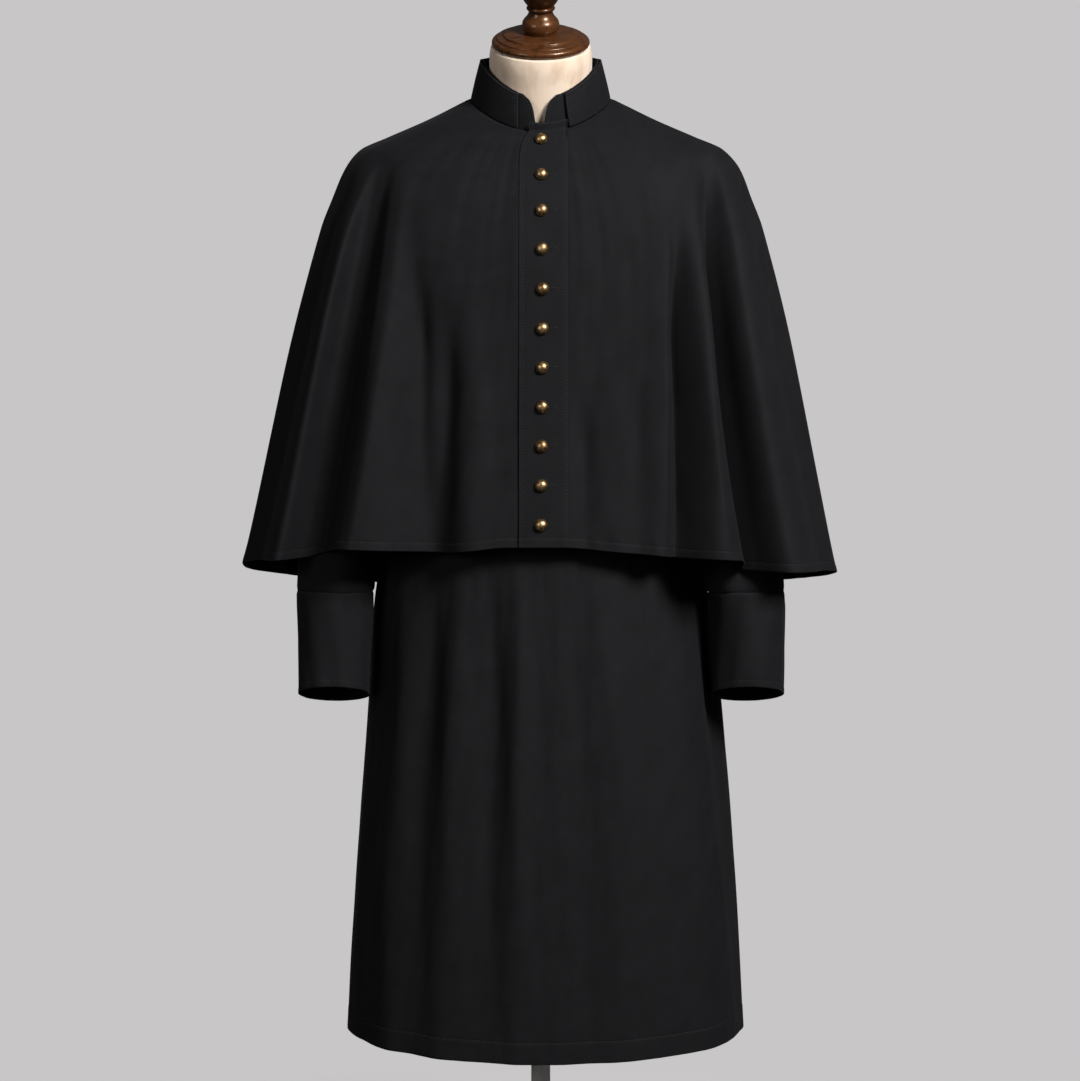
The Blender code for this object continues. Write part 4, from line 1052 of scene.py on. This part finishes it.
relief += sunk(across[:, -1:] - across - BAND_SEAM_STITCH_INSET, 0.0010)
band, points, hem_line = tailor("button_band", "front_band", points, relief, CAPE_HEM_DEPTH)
facing = directions(points)
band_lines = [
    (inset_line(points[:, ::-1], BAND_STITCH_INSET, 1), facing[:, 0]),
    (inset_line(points, BAND_SEAM_STITCH_INSET, 1), facing[:, -2]),
    hem_line,
]
band_stitches = stitched("button_band_stitches", band_lines, thread)

# Each button's seat is on the band's middle line, measured down from the neck seam.
heights = np.linspace(NECK_HEIGHT, CAPE_HEM, 600)
middle = cape_points(np.zeros_like(heights), heights)
middle_facing = unit(np.cross(np.gradient(middle, axis=0), (1.0, 0.0, 0.0)))
seat_line = middle + middle_facing * (BAND_PROUD + SEAT_LIFT)
run = run_along(seat_line[:, None], 0)[:, 0]
seats = []
for down_band in (FIRST_BUTTON, *(SECOND_BUTTON + k * BUTTON_PITCH for k in range(BUTTONS - 1))):
    nearest = int(np.argmin(np.abs(run - down_band)))
    up = Vector(middle_facing[nearest])
    turned = Matrix((Vector((1, 0, 0)), up.cross((1, 0, 0)), up)).transposed().to_4x4()
    seats.append(Matrix.Translation(Vector(seat_line[nearest])) @ turned)

# A worked buttonhole: close silk stitches over a gimp round a cut, with round ends.
HOLE_LENGTH = 0.0165
HOLE_HALF_WIDTH = 0.0012
HOLE_ROUND = 0.0010
TWIST = 0.00062
around = np.radians(np.arange(0, 360, 45))
path = [(t, HOLE_HALF_WIDTH) for t in np.linspace(0, HOLE_LENGTH, 56)]
for end, first in ((HOLE_LENGTH, 30), (0, 210)):
    turned = np.radians(range(first, first + 150, 30))
    path += [(end + HOLE_ROUND * math.sin(a), HOLE_HALF_WIDTH * math.cos(a)) for a in turned]
    if end:
        path += [(t, -HOLE_HALF_WIDTH) for t in np.linspace(HOLE_LENGTH, 0, 56)]
path = np.array(path)
ahead = unit(np.roll(path, -1, axis=0) - np.roll(path, 1, axis=0))
beside = np.stack([ahead[:, 1], -ahead[:, 0]], axis=1)
plump = TWIST * (0.86 + 0.14 * np.cos(np.arange(len(path)) * math.pi))
loop = np.zeros((len(path), len(around), 3))
loop[..., :2] = path[:, None] + beside[:, None] * (plump[:, None] * np.cos(around))[..., None]
loop[..., 2] = plump[:, None] * np.sin(around) * 0.8 - 0.0002
loop = loop.reshape(-1, 3)
quads = ring_quads(len(path), len(around), closed=True)[:, [0, 3, 2, 1]]
vertices = np.concatenate([loop @ np.array(seat.to_3x3()).T + np.array(seat.translation) for seat in seats])
faces = np.concatenate([quads + k * len(loop) for k in range(len(seats))])
buttonholes = new_piece("worked_buttonholes", vertices.tolist(), [], faces.tolist(), thread)
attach(buttonholes, "root")


# ------------------------------
# Eleven shank buttons: thin brass pressed into a high dome over a rolled back plate, with a wire
# loop that is sewn on behind the band. Lacquered an antique gold, and mottled where it has tarnished.
brass, tree, shader = new_material("lacquered antique brass", Metallic=1.0)
place = add_node(tree, "TexCoord").outputs["Object"]
tarnish = noise(tree, place, 260.0, 4.0)
gold = between(tree, tarnish, (0.35, "#7a5c3c"), (0.65, "#c0a176"))
rough = add_node(tree, "MapRange", {"Value": tarnish, "To Min": 0.34, "To Max": 0.48}).outputs["Result"]
wire(tree, shader, Base_Color=gold, Roughness=rough)

BUTTON_RADIUS = 0.008
DOME_FOOT = 0.0018
DOME_HEIGHT = 0.0060
button_profile = [(0, 0), (0.0022, 0), (0.0022, 0.0008), (0.0066, 0.0010), (0.0072, 0.0012)]
button_profile += arc((BUTTON_RADIUS - 0.0006, DOME_FOOT), 0.0006, -80, 60, 6)
button_profile += [
    ((BUTTON_RADIUS - 0.0006) * math.cos(a), DOME_FOOT + 0.0003 + (DOME_HEIGHT - 0.0003) * math.sin(a))
    for a in np.radians(range(8, 90, 8))
]
button_profile += [(0, DOME_FOOT + DOME_HEIGHT)]
for number, seat in enumerate(seats, start=1):
    button = turn_profile(f"brass_button_{number:02d}", button_profile, 40, brass, seat)
    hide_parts(f"button_{number:02d}")
    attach(button, "root")


# ------------------------------
# The studio: a seamless pale grey ground and surround, a large soft lamp high on the right in
# front, a weak one on the left, and one behind for views from the back, kept out of reflections.
PAPER = "#c8c6c7"
paper, tree, shader = new_material("seamless grey paper")
place = add_node(tree, "TexCoord").outputs["Object"]
distance = add_node(tree, "VectorMath", {0: place}, operation="LENGTH").outputs["Value"]
fade = {"Value": distance, "From Min": 0.25, "From Max": 0.95, "To Min": 0.45, "To Max": 1.0}
nearness = add_node(tree, "MapRange", fade).outputs["Result"]
glow = add_node(tree, "Emission", {"Color": linear(PAPER), "Strength": 1.0}).outputs["Emission"]
matt = add_node(tree, "BsdfDiffuse", {"Color": linear(PAPER)}).outputs["BSDF"]
blend = add_node(tree, "MixShader", {0: nearness, 1: matt, 2: glow}).outputs["Shader"]
tree.links.new(blend, tree.nodes["Material Output"].inputs["Surface"])
tree.nodes.remove(shader)

surround_paper, tree, shader = new_material("lit grey surround")
glow = add_node(tree, "Emission", {"Color": linear(PAPER), "Strength": 1.0}).outputs["Emission"]
tree.links.new(glow, tree.nodes["Material Output"].inputs["Surface"])
tree.nodes.remove(shader)

bpy.ops.mesh.primitive_circle_add(vertices=96, radius=38, fill_type="NGON", location=(0, 0, -0.0005))
ground = bpy.context.object
ground.name = "studio ground"
ground.data.materials.append(paper)
bpy.ops.mesh.primitive_uv_sphere_add(segments=48, ring_count=24, radius=40)
surround = bpy.context.object
surround.name = "studio surround"
surround.data.materials.append(surround_paper)
for stage in (ground, surround):
    stage.visible_diffuse = False
    stage.visible_glossy = False
    stage.visible_shadow = False

world = bpy.data.worlds.new("studio air")
bpy.context.scene.world = world
world.use_nodes = True
world.node_tree.nodes["Background"].inputs["Color"].default_value = (1.0, 1.0, 1.0, 1.0)
world.node_tree.nodes["Background"].inputs["Strength"].default_value = 0.07

Lamp = namedtuple("Lamp", "name place size power")
LAMPS = table(
    Lamp,
    ("key lamp", (1.95, -2.6, 3.1), 1.1, 238.0),
    ("fill lamp", (-2.2, -2.7, 1.8), 1.2, 25.0),
    ("back lamp", (-0.9, 3.9, 1.2), 1.6, 170.0),
)
for lamp in LAMPS:
    bpy.ops.object.light_add(type="AREA", location=lamp.place)
    light = bpy.context.object
    light.name = lamp.name
    light.data.size = lamp.size
    light.data.energy = lamp.power
    light.visible_glossy = lamp.name != "back lamp"
    aim = Vector((0, 0, 1.05)) - Vector(lamp.place)
    light.rotation_euler = aim.to_track_quat("-Z", "Y").to_euler()

bpy.context.scene.view_settings.view_transform = "Standard"
